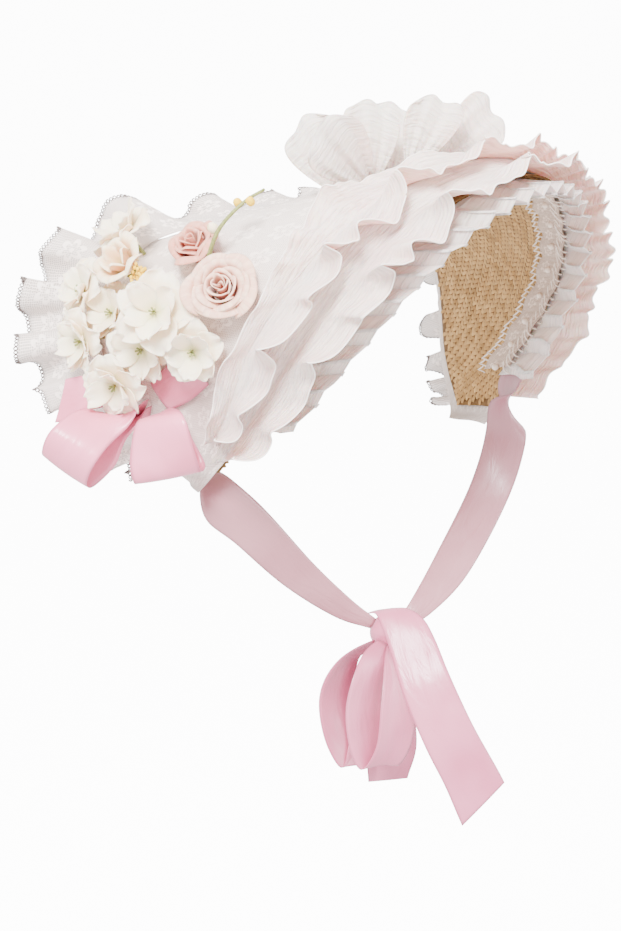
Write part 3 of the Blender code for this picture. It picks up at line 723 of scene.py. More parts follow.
def picotShape(look, steps=7):
    # a small thread loop that stands out along Z
    turn = np.linspace(0, 2 * np.pi, steps)
    x = look["width"] / 2 * np.sin(turn)
    z = look["reach"] / 2 * (1 - np.cos(turn))
    return tube(np.stack([x, np.zeros(steps), z], axis=-1), look["radius"], 5)


print("lace")
picotLoop = itemObject("picotLoop", [picotShape(picots)])
buildLaceCover()
buildLaceEdge()


chiffonCloth = {"thickness": 0.3, "start": 3.0, "vary": 0.16, "pleats": 5, "smallLobe": 0.62, "sway": 1.2}
chiffonFront = {
    "waves": 9, "inset": 9.0, "width": 29.0, "low": 5.0, "high": 43.0, "lobe": 7.0,
    "heading": 17.0, "headingShare": 0.55, "widthChange": 0.05,
}
chiffonBack = {"waves": 9, "inset": 34.0, "frontWidth": 29.0, "low": 18.0, "high": 57.0, "lobe": 6.5}
# angle, width of the back row's half towards the back
backHalfRows = (
    *((0, 14), (20, 13), (32, 10), (45, 13), (58, 21)),
    *((70, 18), (85, 16), (102, 15), (118, 19), (180, 22)),
)
rolledHem = {"radius": 0.34, "innerRadius": 0.3}


def taper(angle):
    return np.minimum(1.0, 0.3 + nearAngle(angle) / 40)


def chiffonPhase(a, waves):
    # wave lengths vary a little, as hand gathering does
    return 2 * np.pi * waves * a + 0.35 * np.sin(2 * np.pi * 3.3 * a + 0.7)


def broadWave(phase):
    # broad hanging lobes with narrower folds standing up between them
    return 2 * (0.5 + 0.5 * np.sin(phase)) ** 1.4 - 1


# arch angle, share of the smaller lobes, share of the close pleats, how high the cloth stands
gatherRows = (
    (0, 0.60, 0.0, 1.0),
    (40, 0.60, 0.0, 1.0),
    (65, 0.40, 0.0, 0.85),
    (85, 0.25, 0.1, 0.66),
    (100, 0.10, 0.5, 0.66),
    (115, 0.10, 0.9, 0.8),
    (180, 0.10, 0.9, 0.9),
)


def ruffleRow(look, angle, inset, seat, way, reach, phase, share):
    # the hem gathers in at the folds and spreads in the lobes
    small, close, stand = [np.clip(readTable(gatherRows, angle, column), 0, 1) for column in (1, 2, 3)]
    middle = (look["low"] + look["high"]) / 2
    ramp = np.minimum(1.0, 1.3 * share) ** 0.8
    varied = 1 + chiffonCloth["vary"] * np.sin(0.37 * phase + 0.6)
    wave = (1 - small) * broadWave(phase) + small * broadWave(2 * phase + 0.9 * np.sin(0.5 * phase))
    pleat = np.sin(chiffonCloth["pleats"] * phase)
    wave = (1 - close) * wave + close * (0.28 * np.sin(phase) + 0.20 * pleat + 0.10)
    lean = middle + (look["high"] - look["low"]) / 2 * wave * ramp * varied
    points = ruffle(angle, inset, seat, way, reach, lean * stand)
    _, along, _, outward = vaultFrame(angle, inset)
    swing = (1 - small) * np.cos(phase) + small * chiffonCloth["smallLobe"] * np.cos(2 * phase)
    swing = (1 - close) * look["lobe"] * swing * share**1.4
    swing = swing + chiffonCloth["sway"] * np.sin(2.7 * phase + 1.0) * share**2
    flutter = (1.0 * np.sin(2.3 * phase + 2.0) + 0.8 * np.sin(5.3 * phase)) * share**3
    return points + along * swing[..., None] + outward * flutter[..., None]


def buildChiffonFront():
    look = chiffonFront
    a, b = gridOf(700, 24)
    angle = blendTo(chiffonCloth["start"], 180 - chiffonCloth["start"], a)
    signed = blendTo(-look["headingShare"], 1.0, b)
    share = np.abs(signed)
    phase = chiffonPhase(a, look["waves"])
    narrow = taper(angle)
    full = look["width"] * (0.55 + 0.45 * narrow) * (1 + look["widthChange"] * np.sin(0.61 * phase))
    reach = np.where(signed < 0, look["heading"] * narrow * share / look["headingShare"], full * share)
    way = np.where(signed < 0, 1, -1)
    lifted = share * (signed > 0)
    points = ruffleRow(look, angle, look["inset"] * narrow, outerSeat, way, reach, phase, lifted)
    row = sheets("chiffonFront", [points], chiffonCloth["thickness"])
    finishPiece(row, chiffonLook, "chiffon", "chiffon_front")
    hemCord("chiffonFrontHem", points[:, -1], hemLook, "chiffon", rolledHem["radius"])


def hemCord(name, path, material, slot, radius):
    # the rolled hem
    solidPiece(name, [tube(path, radius, 6)], material, slot)


def buildChiffonBack():
    look = chiffonBack
    a, b = gridOf(640, 32)
    angle = blendTo(chiffonCloth["start"] + 6, 174 - chiffonCloth["start"], a)
    signed = 2 * b - 1
    share = np.abs(signed)
    width = np.where(signed > 0, readTable(backHalfRows, angle, 1), look["frontWidth"])
    reach = width * taper(angle) * share
    phase = chiffonPhase(a, look["waves"]) + np.where(signed > 0, 0.5 * smoothStep(0, 0.6, share), 0.0)
    way = np.where(signed > 0, 1, -1)
    lifted = share * np.minimum(1, width / 22)
    points = ruffleRow(look, angle, look["inset"] * taper(angle), secondSeat, way, reach, phase, lifted)
    row = sheets("chiffonBack", [points], chiffonCloth["thickness"])
    finishPiece(row, chiffonLook, "chiffon", "chiffon_back")
    for end, column in (("Front", 0), ("Back", -1)):
        hemCord("chiffonBackHem" + end, points[:, column], hemLook, "chiffon", rolledHem["radius"])


print("chiffon")
buildChiffonFront()
buildChiffonBack()


# pleated frill and pearl lace inside the front edge, with room under them for the far tie
innerFrill = {
    "pleats": 23, "start": 8.0, "inset": 10.0, "pastEdge": 25.0, "height": 6.0, "roll": 0.17,
    "thickness": 0.3, "squareness": 1.35, "lipRise": 2.0,
}
tieRoom = {"depth": 4.4, "fromAngle": 146.0, "fullAngle": 162.0}
pearlLace = {
    "front": 1.0, "back": 30.0, "waves": 22, "height": 1.4, "ease": 0.6, "thickness": 0.4,
    "scallop": 1.8, "crimp": 0.25,
}
laceLoops = {"pitch": 4.4, "sizeChange": 0.15, "seed": 3, "reach": 4.6, "width": 4.6, "radius": 0.36}
laceArcs = {"pitch": 4.6, "sizeChange": 0.1, "seed": 5, "reach": 9.0, "bend": 2.6, "radius": 0.35}
pearls = {"pitch": 19.0, "sizeChange": 0.1, "seed": 2, "radius": 1.7, "stand": 1.0}


def roomForTie(angle):
    return tieRoom["depth"] * smoothStep(tieRoom["fromAngle"], tieRoom["fullAngle"], angle)


def buildInnerFrill():
    look = innerFrill
    a, b = gridOf(look["pleats"] * 22, 16)
    turn = 2 * np.pi * look["pleats"] * a
    # each pleat rolls over itself a little, so that its end shows as an open loop
    rolled = a + look["roll"] * np.sin(2 * turn) * smoothStep(0.1, 0.7, b) / look["pleats"]
    angle = blendTo(look["start"], 180 - look["start"], rolled)
    inset = blendTo(look["inset"], -look["pastEdge"], b)
    square = np.clip(look["squareness"] * np.sin(turn), -1, 1)
    drop = look["height"] * smoothStep(0.05, 0.8, b) * (1 - square) / 2
    rise = -outerSeat - drop + look["lipRise"] * np.maximum(0, b - 0.3) ** 2
    points = onVault(angle, inset, rise - roomForTie(angle))
    frill = sheets("innerFrill", [points], look["thickness"])
    finishPiece(frill, organzaLook, "organza", "inner_frill")
    hemCord("innerFrillHem", points[:, -1], organzaLook, "organza", rolledHem["innerRadius"])


def buildInnerLace():
    look = pearlLace
    a, b = gridOf(look["waves"] * 16, 14)
    angle = blendTo(innerFrill["start"] + 2, 178 - innerFrill["start"], a)
    turn = 2 * np.pi * look["waves"] * a
    inset = blendTo(look["front"], look["back"] - 2 + look["scallop"] * np.abs(np.sin(turn / 2)), b)
    wave = (1 - np.cos(turn)) / 2
    rise = -secondSeat - look["ease"] - look["height"] * wave * np.abs(2 * b - 1)
    rise = rise - look["crimp"] * np.sin(5 * turn) * np.sin(np.pi * b)
    points = onVault(angle, inset, rise - roomForTie(angle))
    lace = sheets("innerLace", [points], look["thickness"])
    finishPiece(lace, innerLook, "lace", "inner_lace")
    _, _, back, outward = vaultFrame(angle[:, -1], inset[:, -1])
    picotEdge = [(points[:, -1], unit(back - 0.4 * outward))]
    repeatAlong("pearlLaceLoops", picotEdge, pointedPicot, laceLoops, cordLook, "lace")
    repeatAlong("pearlLaceArcs", [(points[:, 1], -outward)], cordArc, laceArcs, cordLook, "lace")
    middle = points[:, 7] - outward * pearls["stand"]
    repeatAlong("pearls", [(middle, -outward)], pearl, pearls, pearlLook, "lace")


def ballShape(radius, steps=8, sides=12):
    turn = np.linspace(-np.pi / 2, np.pi / 2, steps)
    path = np.stack([np.zeros(steps), np.zeros(steps), radius * np.sin(turn)], axis=-1)
    around = np.linspace(0, 2 * np.pi, sides + 1)
    ring = np.stack([np.cos(around), np.sin(around), np.zeros(sides + 1)], axis=-1)
    return path[:, None] + ring[None] * (radius * np.cos(turn))[:, None, None]


def pointedShape(look):
    # a thread drawn out to a point and back
    part = np.linspace(-1, 1, 9)
    z = look["reach"] * (1 - np.abs(part)) ** 1.3
    return tube(np.stack([look["width"] / 2 * part, np.zeros(9), z], axis=-1), look["radius"], 5)


def arcShape(look):
    # a thread that lies across the frill's heading, bowed along the row
    part = np.linspace(-1, 1, 8)
    bow = 1 - part**2
    path = np.stack([look["bend"] * bow, look["reach"] / 2 * part, 0.4 * bow], axis=-1)
    return tube(path, look["radius"], 5)


print("inner frill")
pointedPicot = itemObject("pointedPicot", [pointedShape(laceLoops)])
cordArc = itemObject("cordArc", [arcShape(laceArcs)])
pearl = itemObject("pearlBall", [ballShape(pearls["radius"])])
buildInnerFrill()
buildInnerLace()


# how far flowers and the tall folded loops stand off the straw
flowerSeat = outerSeat + coverEase + 0.8
petalLook = {
    "footShare": 0.16, "footWidth": 0.29, "alongFront": -0.60, "backFront": -0.75, "thickness": 0.3,
    "cup": 5.0, "gape": 1.9,
}
# node, arch angle, inset, lean back, lean up the arch, height, width, tip bent back
petalRows = (
    ("petal_1", 75, 61, -4, -34, 40, 31, 5),
    ("petal_2", 79, 69, -8, 14, 36, 27, 4),
    ("petal_3", 86, 60, -22, 30, 35, 26, 4),
    ("petal_4", 95, 62, -30, 48, 36, 28, 4),
    ("petal_5", 75, 79, 14, -4, 36, 28, 4),
    ("petal_6", 86, 76, 8, 30, 36, 26, 4),
    ("petal_7", 80, 90, 36, 10, 30, 26, 4),
)


def leaning(along, back, outward, leanBack, leanUp):
    # leans are in degrees from straight out, to the back and up the arch
    return unit(outward + back * math.tan(math.radians(leanBack)) + along * math.tan(math.radians(leanUp)))


def buildPetal(node, angle, inset, leanBack, leanUp, height, width, bend, seed):
    look = petalLook
    point, along, back, outward = vaultFrame(angle, inset)
    up = leaning(along, back, outward, leanBack, leanUp)
    facing = along * look["alongFront"] + back * look["backFront"]
    across = unit(np.cross(up, facing))
    facing = np.cross(across, up)
    dip = width / 2 * look["footWidth"] * abs(across.dot(outward)) + 0.5 * abs(facing.dot(outward))
    foot = point + outward * (flowerSeat + dip)
    # a runs across the loop; b climbs the front, folds over the top and comes down behind
    a, b = gridOf(36, 56)
    side = 2 * a - 1
    climb = 1 - np.abs(2 * b - 1)
    front = np.where(b < 0.5, 1, -1)
    half = width / 2 * blendTo(look["footShare"], 1, np.sin(np.pi * (0.05 + 0.72 * climb**0.85)))
    rise = height * np.sin(np.pi / 2 * climb) ** 0.85 * (0.985 + 0.045 * np.sin(4.1 * side + seed))
    rise = rise * (1 - 0.09 * side**4 + 0.07 * np.sin(2 * seed + 1) * side)
    cup = look["cup"] * side**2 * climb - bend * climb**2
    gape = front * look["gape"] * np.sin(np.pi * climb) * (1 - 0.5 * side**2)
    gathers = 0.8 * np.sin(8 * side + seed) * (1 - climb) ** 0.5
    gathers = gathers + 0.45 * np.sin(17 * side + 2 * seed) * (1 - climb)
    ripple = 1.0 * np.sin(3.2 * side + 1.5 * seed) * climb**2 + 0.5 * np.sin(7 * side + seed) * climb**3
    points = foot + across * (side * half)[..., None] + up * rise[..., None]
    points = points + facing * (cup + gape + gathers + ripple)[..., None]
    loop = sheets("top" + node.title().replace("_", ""), [points], look["thickness"])
    finishPiece(loop, loopLook, "chiffon", node)


print("top loops")
for index, row in enumerate(petalRows):
    buildPetal(*row, seed=1.7 * index)


# node, angle, inset, lean back, lean up the arch, stem, radius, cup, petals
blossomRows = (
    ("blossom_1", 34, 99, -14, -6, 11, 16, 4, 5),
    ("blossom_2", 38, 94, -20, 6, 20, 18, 5, 5),
    ("blossom_3", 41, 128, 0, 2, 9, 15, 4, 5),
    ("blossom_4", 31, 108, -6, -14, 18, 16, 4, 5),
    ("blossom_5", 32, 67, -20, -8, 11, 15, 4, 5),
    ("blossom_6", 46, 147, 12, -3, 17, 15, 4, 5),
    ("blossom_7", 57, 152, 10, 6, 14, 16, 4, 5),
    ("blossom_8", 38, 131, 14, -5, 18, 15, 4, 5),
)
blossom = {"innerShare": 0.72, "innerLift": 1.3, "notch": 0.10, "thickness": 0.3, "stalk": 1.1, "threads": 5}
# node, angle, inset, lean back, lean up the arch, radius, height
roseRows = (("rose", 41.6, 68, -20, 8, 16.5, 13), ("rosebud", 53, 106, -6, 4, 12, 13))
# share of the radius, petals, half their spread in radians, curl of the lip
roseLayers = (
    (0.09, 2, 2.0, 0.2),
    (0.19, 3, 1.5, 0.4),
    (0.31, 3, 1.35, 0.6),
    (0.45, 4, 1.05, 0.9),
    (0.60, 4, 1.0, 1.2),
    (0.76, 5, 0.82, 1.6),
    (0.91, 5, 0.84, 2.2),
)
budLayers = (
    (0.14, 2, 2.2, 0.2),
    (0.30, 3, 1.5, 0.5),
    (0.50, 4, 1.05, 0.9),
    (0.72, 4, 1.0, 1.4),
    (0.92, 5, 0.85, 2.2),
)
rosePetals = {"thickness": 0.35, "shift": 0.7, "tilt": 0.10, "sink": 0.3}
lotus = {
    "angle": 49.0, "inset": 132.0, "stem": 12.0, "radius": 13.0, "height": 15.0, "spread": 0.62,
    "seed": 31,
}
# layer, petals
lotusLayers = ((0, 5), (1, 7))
stamenTuft = {"angle": 46, "inset": 115, "count": 22, "height": 19.0, "spread": 4.6, "ball": 0.85, "seed": 9}


def flowerAxes(angle, inset, leanBack, leanUp):
    # the foot, the way that the flower faces and two directions across it
    point, along, back, outward = vaultFrame(angle, inset)
    axis = leaning(along, back, outward, leanBack, leanUp)
    across = unit(np.cross(along, axis))
    return point + outward * flowerSeat, axis, across, unit(np.cross(axis, across))


def radialWay(across, upright, turn):
    return across * math.cos(turn) + upright * math.sin(turn)


def openPetal(foot, axis, radial, sideways, reach, width, cup, wave, notch, twist):
    # a broad petal that springs from the throat, spreads and lifts its ruffled rim; one side lies
    # over the next petal
    a, b = gridOf(16, 16)
    side = 2 * a - 1
    half = width / 2 * np.sin(np.pi * np.clip(0.10 + 0.70 * b, 0, 1)) ** 0.9
    out = reach * (b - 0.16 * side**2 * b) - notch * np.exp(-((side / 0.22) ** 2)) * smoothStep(0.75, 1, b)
    lift = cup * b**1.5 + 0.12 * reach * side**2 * b + 0.07 * reach * np.sin(4.2 * side + wave) * b**2
    lift = lift + twist * side * b + 0.03 * reach * np.sin(9 * side + 2 * wave) * b**3
    lift = lift - 0.16 * reach * smoothStep(0.65, 1, b)
    return foot + radial * out[..., None] + sideways * (side * half)[..., None] + axis * lift[..., None]


def buildBlossom(node, angle, inset, leanBack, leanUp, stem, radius, cup, petals, seed):
    draw = random.Random(seed)
    foot, axis, across, upright = flowerAxes(angle, inset, leanBack, leanUp)
    throat = foot + axis * stem
    grids = []
    for layer, share in ((0, 1.0), (1, blossom["innerShare"])):
        for index in range(petals):
            turn = 2 * math.pi * (index + 0.5 * layer + 0.12 * draw.uniform(-1, 1)) / petals
            radial = radialWay(across, upright, turn)
            sideways = np.cross(axis, radial)
            reach = radius * share * draw.uniform(1.0, 1.16)
            width = reach * draw.uniform(0.92, 1.08)
            lifted = cup * (1.0 + blossom["innerLift"] * layer) * draw.uniform(0.6, 1.3)
            start = throat + radial * 0.6 + axis * (0.7 * layer)
            wave, twist = draw.uniform(0, 6), draw.uniform(1.0, 2.4)
            notch = blossom["notch"] * reach
            grids.append(openPetal(start, axis, radial, sideways, reach, width, lifted, wave, notch, twist))
    name = node.replace("_", "")
    flower = sheets(name, grids, blossom["thickness"])
    finishPiece(flower, blossomLook, "blossom", node)
    stalk = np.stack([foot + axis * (stem * share) for share in np.linspace(0.02, 1.0, 6)])
    parts = [tube(stalk, blossom["stalk"], 8)]
    for index in range(blossom["threads"]):
        radial = radialWay(across, upright, 2 * math.pi * index / blossom["threads"] + 0.4)
        path = [throat + axis * climb + radial * out for climb, out in ((0, 0), (2.4, 0.6), (4.2, 1.6))]
        parts.append(tube(np.stack(path), (0.3, 0.3, 0.55), 6))
    solidPiece(name + "Heart", parts, leafLook, "leaf")


def rosePetal(foot, axis, across, upright, start, spread, low, high, height, curl, wave):
    # wraps round the axis and rolls its lip outward
    a, b = gridOf(16, 14)
    side = 2 * a - 1
    turn = start + spread * side
    rim = 1 - 0.34 * side**2 + 0.05 * np.sin(4 * side + wave)
    up = height * np.sin(np.pi / 2 * np.minimum(1, b * 1.08)) * rim
    reach = blendTo(low, high, b**0.8) * (1 - 0.05 * curl * side**2)
    lip = smoothStep(0.72, 1.0, b)
    reach = reach + curl * lip * (1 + 0.45 * np.sin(2.2 * side + wave))
    up = up - 0.55 * curl * lip**2
    radial = across * np.cos(turn)[..., None] + upright * np.sin(turn)[..., None]
    return foot + axis * up[..., None] + radial * reach[..., None]


def buildRose(node, angle, inset, leanBack, leanUp, radius, height, layers, material, seed):
    draw = random.Random(seed)
    look = rosePetals
    foot, axis, across, upright = flowerAxes(angle, inset, leanBack, leanUp)
    leanest = math.radians(max(abs(leanBack), abs(leanUp)))
    foot = foot + axis * (0.75 * radius * math.tan(leanest) - look["sink"])
    grids = []
    for share, count, spread, curl in layers:
        for index in range(count):
            start = 2 * math.pi * (index + 0.4 * share * 10 + 0.15 * draw.uniform(-1, 1)) / count
            outer = radius * share * draw.uniform(0.97, 1.03)
            inner = outer * (0.5 if share > 0.5 else 0.75)
            tall = height * (1.12 - 0.38 * share) * draw.uniform(0.95, 1.04)
            shift = across * draw.uniform(-1, 1) + upright * draw.uniform(-1, 1)
            tilt = across * draw.uniform(-1, 1) + upright * draw.uniform(-1, 1)
            shifted = foot + shift * look["shift"] * share
            tilted = unit(axis + tilt * look["tilt"])
            sizes = (start, spread, inner, outer, tall, curl, draw.uniform(0, 6))
            grids.append(rosePetal(shifted, tilted, across, upright, *sizes))
    flower = sheets(node + "Petals", grids, look["thickness"])
    finishPiece(flower, material, "rose", node)


def buildLotus():
    foot, axis, across, upright = flowerAxes(lotus["angle"], lotus["inset"], 0, 0)
    draw = random.Random(lotus["seed"])
    top = foot + axis * (lotus["stem"] - 1)
    grids = []
    for layer, count in lotusLayers:
        outer = lotus["radius"] * (0.55 + 0.4 * layer)
        tall = lotus["height"] * (1.0 - 0.22 * layer)
        curl = 0.6 + 0.8 * layer
        for index in range(count):
            start = 2 * math.pi * (index + 0.5 * layer) / count
            sizes = (start, lotus["spread"], 2.0 + layer, outer, tall, curl, draw.uniform(0, 6))
            grids.append(rosePetal(top, axis, across, upright, *sizes))
    flower = sheets("lotusPetals", grids, rosePetals["thickness"])
    finishPiece(flower, lotusLook, "blossom", "lotus")
    share = np.linspace(0.03, 1, 8)
    path = foot + axis * (share * lotus["stem"])[:, None]
    solidPiece("lotusBase", [tube(path, 2.4 + 2.2 * share**2, 14)], leafLook, "leaf", "lotus_base")


def buildStamens():
    look = stamenTuft
    foot, axis, across, upright = flowerAxes(look["angle"], look["inset"], 0, 0)
    draw = random.Random(look["seed"])
    parts = [tube(np.stack([foot + axis * 0.2, foot + axis * 8]), (1.9, 1.3), 8)]
    for index in range(look["count"]):
        radial = radialWay(across, upright, 2.4 * index)
        spread = look["spread"] * math.sqrt((index + 0.5) / look["count"])
        tall = look["height"] * draw.uniform(0.8, 1.05)
        rows = ((6, 0.5), (0.6 * tall, spread * 0.5), (tall, spread))
        path = np.stack([foot + axis * climb + radial * out for climb, out in rows])
        parts.append(tube(path, (0.25, 0.25, 0.3), 5))
        parts.append(ballShape(look["ball"], 6, 8) * (1, 1, 1.3) + path[-1])
    solidPiece("stamenTuft", parts, pollenLook, "pollen", "stamens")


# angle, inset and rise along the sprig
sprigPoints = ((48, 90, flowerSeat + 0.5), (50, 89, 11), (54, 87, 18), (59, 84, 20), (62, 81, 19))
# node, index of the sprig's point, side, radius, finish
budRows = (
    ("bud_1", 2, 1, 3.0, blossomLook),
    ("bud_2", 3, 1, 2.4, pollenLook),
    ("bud_3", 3, -1, 2.4, pollenLook),
)


def smoothPath(points, steps):
    rows = [(index, *point) for index, point in enumerate(points)]
    return readPoints(rows, np.linspace(0, len(points) - 1, steps + 1), 1)


def buildSprig():
    points = [onVault(*row) for row in sprigPoints]
    stem = tube(smoothPath(points, 20), np.linspace(1.3, 0.7, 21), 8)
    solidPiece("sprigStem", [stem], leafLook, "leaf", "sprig_stem")
    for node, index, way, radius, look in budRows:
        _, _, back, outward = vaultFrame(*sprigPoints[index][:2])
        centre = points[index] + back * (way * (1.2 + radius))
        share = np.linspace(-1, 1, 9)
        path = centre + outward * (share * radius * 1.1)[:, None]
        bud = tube(path, radius * 0.85 * np.sqrt(1.02 - share**2) + 0.1, 10)
        solidPiece(node.replace("_", ""), [bud], look, "blossom", node)


print("flowers")
for index, row in enumerate(blossomRows):
    buildBlossom(*row, seed=index + 11)
buildRose(*roseRows[0], roseLayers, roseLook, 5)
buildRose(*roseRows[1], budLayers, budLook, 6)
buildLotus()
buildStamens()
buildSprig()


# satin ribbons: the knot that the ties and loops end on, and how far the ties lie inside the straw
knotCentre = np.array([-1.0, -27.0, -96.0])
knotRadius = 9.5
tieSeat = -outerSeat - 0.8
satin = {"thickness": 0.4, "camber": 0.7, "steps": 72, "knottedHalf": 2.8, "crease": 0.05}
# x, y, z, half width, then the direction in which the width runs
freeRibbons = {
    "bow_loop_left": (
        (-137, 27, 26, 11, 0.36, -0.78, -0.5),
        (-154, 26, 18, 13, 0.51, -0.66, -0.56),
        (-155, 33, 6, 13, 0.51, -0.66, -0.56),
        (-148, 37, 2, 13, 0.51, -0.66, -0.56),
        (-137, 34, 11, 13, 0.44, -0.73, -0.53),
        (-129, 28, 24, 10, 0.3, -0.84, -0.45),
    ),
    "bow_loop_right": (
        (-129, -8, 33, 13, 0.33, -0.92, 0.23),
        (-131, -11, 17, 16.5, 0.48, -0.84, 0.24),
        (-127, -10, 5, 16.5, 0.62, -0.75, 0.23),
        (-118, -2, 5, 16.5, 0.62, -0.75, 0.23),
        (-115, 3, 17, 12, 0.44, -0.86, 0.25),
        (-114, 3, 27, 8, 0.33, -0.92, 0.23),
    ),
    "bow_tail": (
        (-133, 38, 38, 9, 0.19, -0.1, 0.98),
        (-138, 47, 34, 11, 0.19, -0.1, 0.98),
        (-141, 54, 32, 11, 0.22, -0.13, 0.97),
    ),
    "tie_near": (
        (-86, 2, -17, 12.5, 0.62, 0.12, 0.62),
        (-71, -3, -32, 11.5, 0.66, 0.0, 0.66),
        (-46, -10, -60, 9, 0.66, -0.30, 0.66),
        (-23, -17, -81, 6, 0.60, -0.30, 0.74),
    ),
    "tie_far": (
        (86, -21, -12, 11.5, 0.36, -0.86, -0.35),
        (72, -23, -39, 10.5, 0.50, -0.75, -0.44),
        (38, -31, -69, 9.5, 0.57, -0.68, -0.47),
        (16, -32, -86, 6, 0.55, -0.67, -0.49),
    ),
    "chin_loop_right": (
        (-24, -40, -106, 11, 0.98, 0.03, -0.18),
        (-32, -43, -124, 12.5, 0.98, 0.03, -0.18),
        (-34, -48, -143, 12.5, 0.98, 0.03, -0.18),
        (-30, -52, -154, 12.5, 0.98, 0.03, -0.18),
        (-22, -54, -144, 12.5, 0.98, 0.03, -0.18),
        (-17, -52, -125, 12.5, 0.98, 0.03, -0.18),
        (-11, -44, -108, 9, 0.98, 0.03, -0.18),
    ),
    "chin_loop_left": (
        (-25, -23, -107, 11, 0.92, 0.30, -0.25),
        (-31.5, -22, -124, 13.5, 0.96, 0.14, -0.24),
        (-32.5, -27, -145, 13.5, 0.96, 0.14, -0.24),
        (-27.5, -31, -160, 12.5, 0.93, 0.25, -0.25),
        (-18, -26, -150, 12.5, 0.92, 0.28, -0.25),
        (-14, -23, -130, 12, 0.92, 0.28, -0.25),
        (-12, -21, -114, 8, 0.78, 0.57, -0.25),
    ),
    "chin_tail_long": (
        (-1, -20, -87.0, 6, 0.80, -0.58, 0.15),
        (-1, -29, -84.8, 8, 0.80, -0.58, 0.15),
        (-1.5, -38, -89.0, 10.5, 0.78, -0.58, 0.22),
        (-3, -47, -98, 11.5, 0.76, -0.58, 0.29),
        (-6, -60, -114, 12.5, 0.74, -0.52, 0.41),
        (-4, -74, -137, 13, 0.73, -0.50, 0.45),
        (2, -83, -157, 13.5, 0.72, -0.47, 0.51),
        (6, -89, -172, 15, 0.64, -0.33, 0.69),
    ),
    "chin_tail_short": (
        (5, -18, -118, 10, 0.74, -0.67, 0.0),
        (5, -20, -135, 12.5, 0.74, -0.66, 0.05),
        (2, -26, -158, 13, 0.74, -0.66, 0.05),
        (-2, -28, -175, 10, 0.74, -0.66, 0.1),
    ),
}
# what each ribbon is cut from, how it is held and what it rests on; ends that reach the knot; and
# ends sewn to the vault as angle, inset, rise, half width and the width's shares along it and back
ribbonEnds = {
    "bow_loop_left": {
        "cut": (0.025, 0.115, "folded", "laceCover"),
        "start": ((22, 85, 7.0, 7, 0.8, -1.0),),
        "last": ((20, 84, 3.4, 7, 0.8, -1.0),),
    },
    "bow_loop_right": {
        "cut": (0.025, 0.095, "folded", "laceCover"),
        "start": ((20, 68, 8.0, 7, 0.2, -1.0),),
        "last": ((17, 64, 3.4, 7, 0.2, -1.0),),
    },
    "bow_tail": {"cut": (0.025, 0.032, "hung", "laceCover"), "start": ((27, 103, 3.4, 6, 1.0, 0.0),)},
    "tie_near": {
        "cut": (0.025, 0.12, "gathered", "strawVault"),
        "start": ((5, 16, tieSeat, 12.0, 0.0, 1.0), (-5, 16, -2 * outerSeat, 12.5, 0.0, 1.0)),
        "knotted": (False, True),
    },
    "tie_far": {
        "cut": (0.025, 0.14, "gathered", "strawVault"),
        "start": ((165, 3, -outerSeat - 0.3, 11.5, 0.0, 1.0), (174, -4, -outerSeat - 2.6, 11.5, 0.0, 1.0)),
        "knotted": (False, True),
    },
    "chin_loop_left": {"cut": (0.025, 0.125, "folded", "chinKnot"), "knotted": (True, True)},
    "chin_loop_right": {"cut": (0.025, 0.12, "folded", "chinKnot"), "knotted": (True, True)},
    "chin_tail_long": {"cut": (0.025, 0.12, "hung", "chinKnot")},
    "chin_tail_short": {"cut": (0.025, 0.07, "hung", "chinKnot"), "knotted": (True, False)},
}
bandRows = ((23.5, 80, 3.4, 8), (25.5, 68, 4.6, 10), (27, 58, 3.6, 8))
ribbonLooks = {"bow": satinLook, "tie": tieLook, "chin": chinLook}


def sewnRow(angle, inset, rise, half, alongShare, backShare):
    point, along, back, outward = vaultFrame(angle, inset)
    return (*(point + outward * rise), half, *(along * alongShare + back * backShare))


def knottedRow(neighbour):
    toward = unit(np.array(neighbour[:3], float) - knotCentre)
    side = np.array(neighbour[4:], float)
    side = unit(side - toward * side.dot(toward))
    return (*(knotCentre + toward * (knotRadius + 0.2)), satin["knottedHalf"], *side)


def camelName(node):
    first, *rest = node.split("_")
    return first + "".join(word.title() for word in rest)


def ribbonGrid(rows, steps, columns=12):
    table = [(index, *row) for index, row in enumerate(rows)]
    at = np.linspace(0, len(rows) - 1, steps + 1)
    middle = readPoints(table, at, 1)
    side = unit(readPoints(table, at, 5))
    normal = unit(np.cross(np.gradient(middle, axis=0), side))
    part = np.linspace(-1, 1, columns + 1)
    width = side[:, None] * (readTable(table, at, 4)[:, None] * part[None, :])[..., None]
    return middle[:, None] + width + normal[:, None] * (satin["camber"] * (1 - part**2))[None, :, None]


def buildRibbons():
    for node, rows in freeRibbons.items():
        ends = ribbonEnds[node]
        starts, lasts = [[sewnRow(*end) for end in ends.get(key, ())] for key in ("start", "last")]
        rows = starts + list(rows) + lasts
        firstKnotted, lastKnotted = ends.get("knotted", (False, False))
        if firstKnotted:
            rows.insert(0, knottedRow(rows[0]))
        if lastKnotted:
            rows.append(knottedRow(rows[-1]))
        strip = sheets(camelName(node), [ribbonGrid(rows, satin["steps"])], satin["thickness"])
        finishPiece(strip, ribbonLooks[node.split("_")[0]], "satin", node)


def buildBand():
    rows = [sewnRow(*row, 1.0, 0.3) for row in bandRows]
    band = sheets("bowBand", [ribbonGrid(rows, 24)], satin["thickness"])
    finishPiece(band, satinLook, "satin", "bow_band")


def buildKnot():
    a, b = gridOf(48, 30)
    turn = 2 * np.pi * a
    climb = np.pi * (b - 0.5)
    crease = 1 - satin["crease"] * np.abs(np.sin(2.5 * turn)) * np.cos(climb)
    side = np.stack([np.cos(turn) * np.cos(climb), np.sin(turn) * np.cos(climb), np.sin(climb)], axis=-1)
    ball = knotCentre + side * (knotRadius * crease)[..., None]
    solidPiece("chinKnot", [ball], chinLook, "satin", "chin_knot", weld=0.01)


print("ribbons")
buildKnot()
buildRibbons()
buildBand()


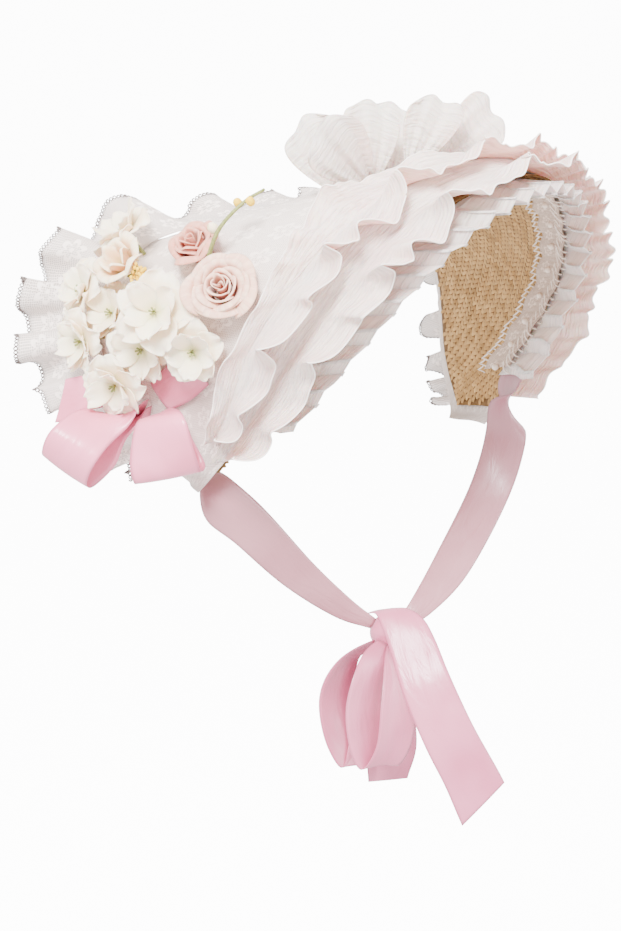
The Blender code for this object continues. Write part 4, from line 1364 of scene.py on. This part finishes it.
studio = {
    "floorDrop": 0.62, "floorSize": 60.0, "floorGlow": 10.0, "aim": (0, 0, -0.1),
    "worldStrength": 2.8, "worldColour": (1.0, 0.99, 0.985, 1),
}
# name, place, size and power
lightRows = (("keyLight", (-1.7, -1.1, 1.9), 1.0, 290), ("fillLight", (1.9, -1.2, 0.5), 1.4, 34))


def buildStage():
    plane = bpy.data.meshes.new("studioFloor")
    half = studio["floorSize"] / 2
    level = cadBox[0][2] - studio["floorDrop"]
    corners = [(x * half, y * half, level) for x, y in ((-1, -1), (1, -1), (1, 1), (-1, 1))]
    plane.from_pydata(corners, [], [(0, 1, 2, 3)])
    floor = bpy.data.objects.new("studioFloor", plane)
    scene.collection.objects.link(floor)
    pale = plainMaterial("paleFloor", (0.93, 0.93, 0.93), (0.92, 0.92, 0.92), 3.0, 0.9, 0.01)
    glow = {"Emission Color": (1, 1, 1, 1), "Emission Strength": studio["floorGlow"]}
    feedNode(pale.node_tree, pale.node_tree.nodes["Principled BSDF"], glow)
    floor.data.materials.append(pale)
    floor.visible_diffuse = False
    floor.visible_glossy = False
    floor.visible_transmission = False


def addLight(name, place, size, power):
    data = bpy.data.lights.new(name, "AREA")
    data.shape = "DISK"
    data.size = size
    data.energy = power
    lamp = bpy.data.objects.new(name, data)
    scene.collection.objects.link(lamp)
    lamp.location = place
    lamp.rotation_euler = (Vector(studio["aim"]) - Vector(place)).to_track_quat("-Z", "Y").to_euler()


def buildLight():
    world = bpy.data.worlds.new("studio")
    world.use_nodes = True
    sky = {"Color": studio["worldColour"], "Strength": studio["worldStrength"]}
    feedNode(world.node_tree, world.node_tree.nodes["Background"], sky)
    scene.world = world
    for row in lightRows:
        addLight(*row)


# Camera angles in degrees, distance in metres, and the image point where the tie level's middle falls
view = {"azimuth": -42.0, "elevation": 15.0, "distance": 1.5, "pixelPerMm": 2.0, "atX": 354, "atY": 436}
photo = {"width": 621, "height": 931, "sensorHeight": 24.0}


def buildCamera():
    azimuth = math.radians(view["azimuth"])
    elevation = math.radians(view["elevation"])
    level = math.cos(elevation)
    toCamera = Vector((math.sin(azimuth) * level, -math.cos(azimuth) * level, math.sin(elevation)))
    data = bpy.data.cameras.new("camera")
    camera = bpy.data.objects.new("camera", data)
    scene.collection.objects.link(camera)
    camera.location = Vector((0, 0, -seatHeight * mm)) + toCamera * view["distance"]
    camera.rotation_euler = toCamera.to_track_quat("Z", "Y").to_euler()
    data.sensor_fit = "VERTICAL"
    data.sensor_height = photo["sensorHeight"]
    frameHeight = photo["height"] / view["pixelPerMm"] * mm
    data.lens = view["distance"] / frameHeight * data.sensor_height
    data.shift_x = (photo["width"] / 2 - view["atX"]) / photo["height"]
    data.shift_y = (view["atY"] - photo["height"] / 2) / photo["height"]
    scene.camera = camera


print("stage, light and camera")
buildStage()
buildLight()
buildCamera()
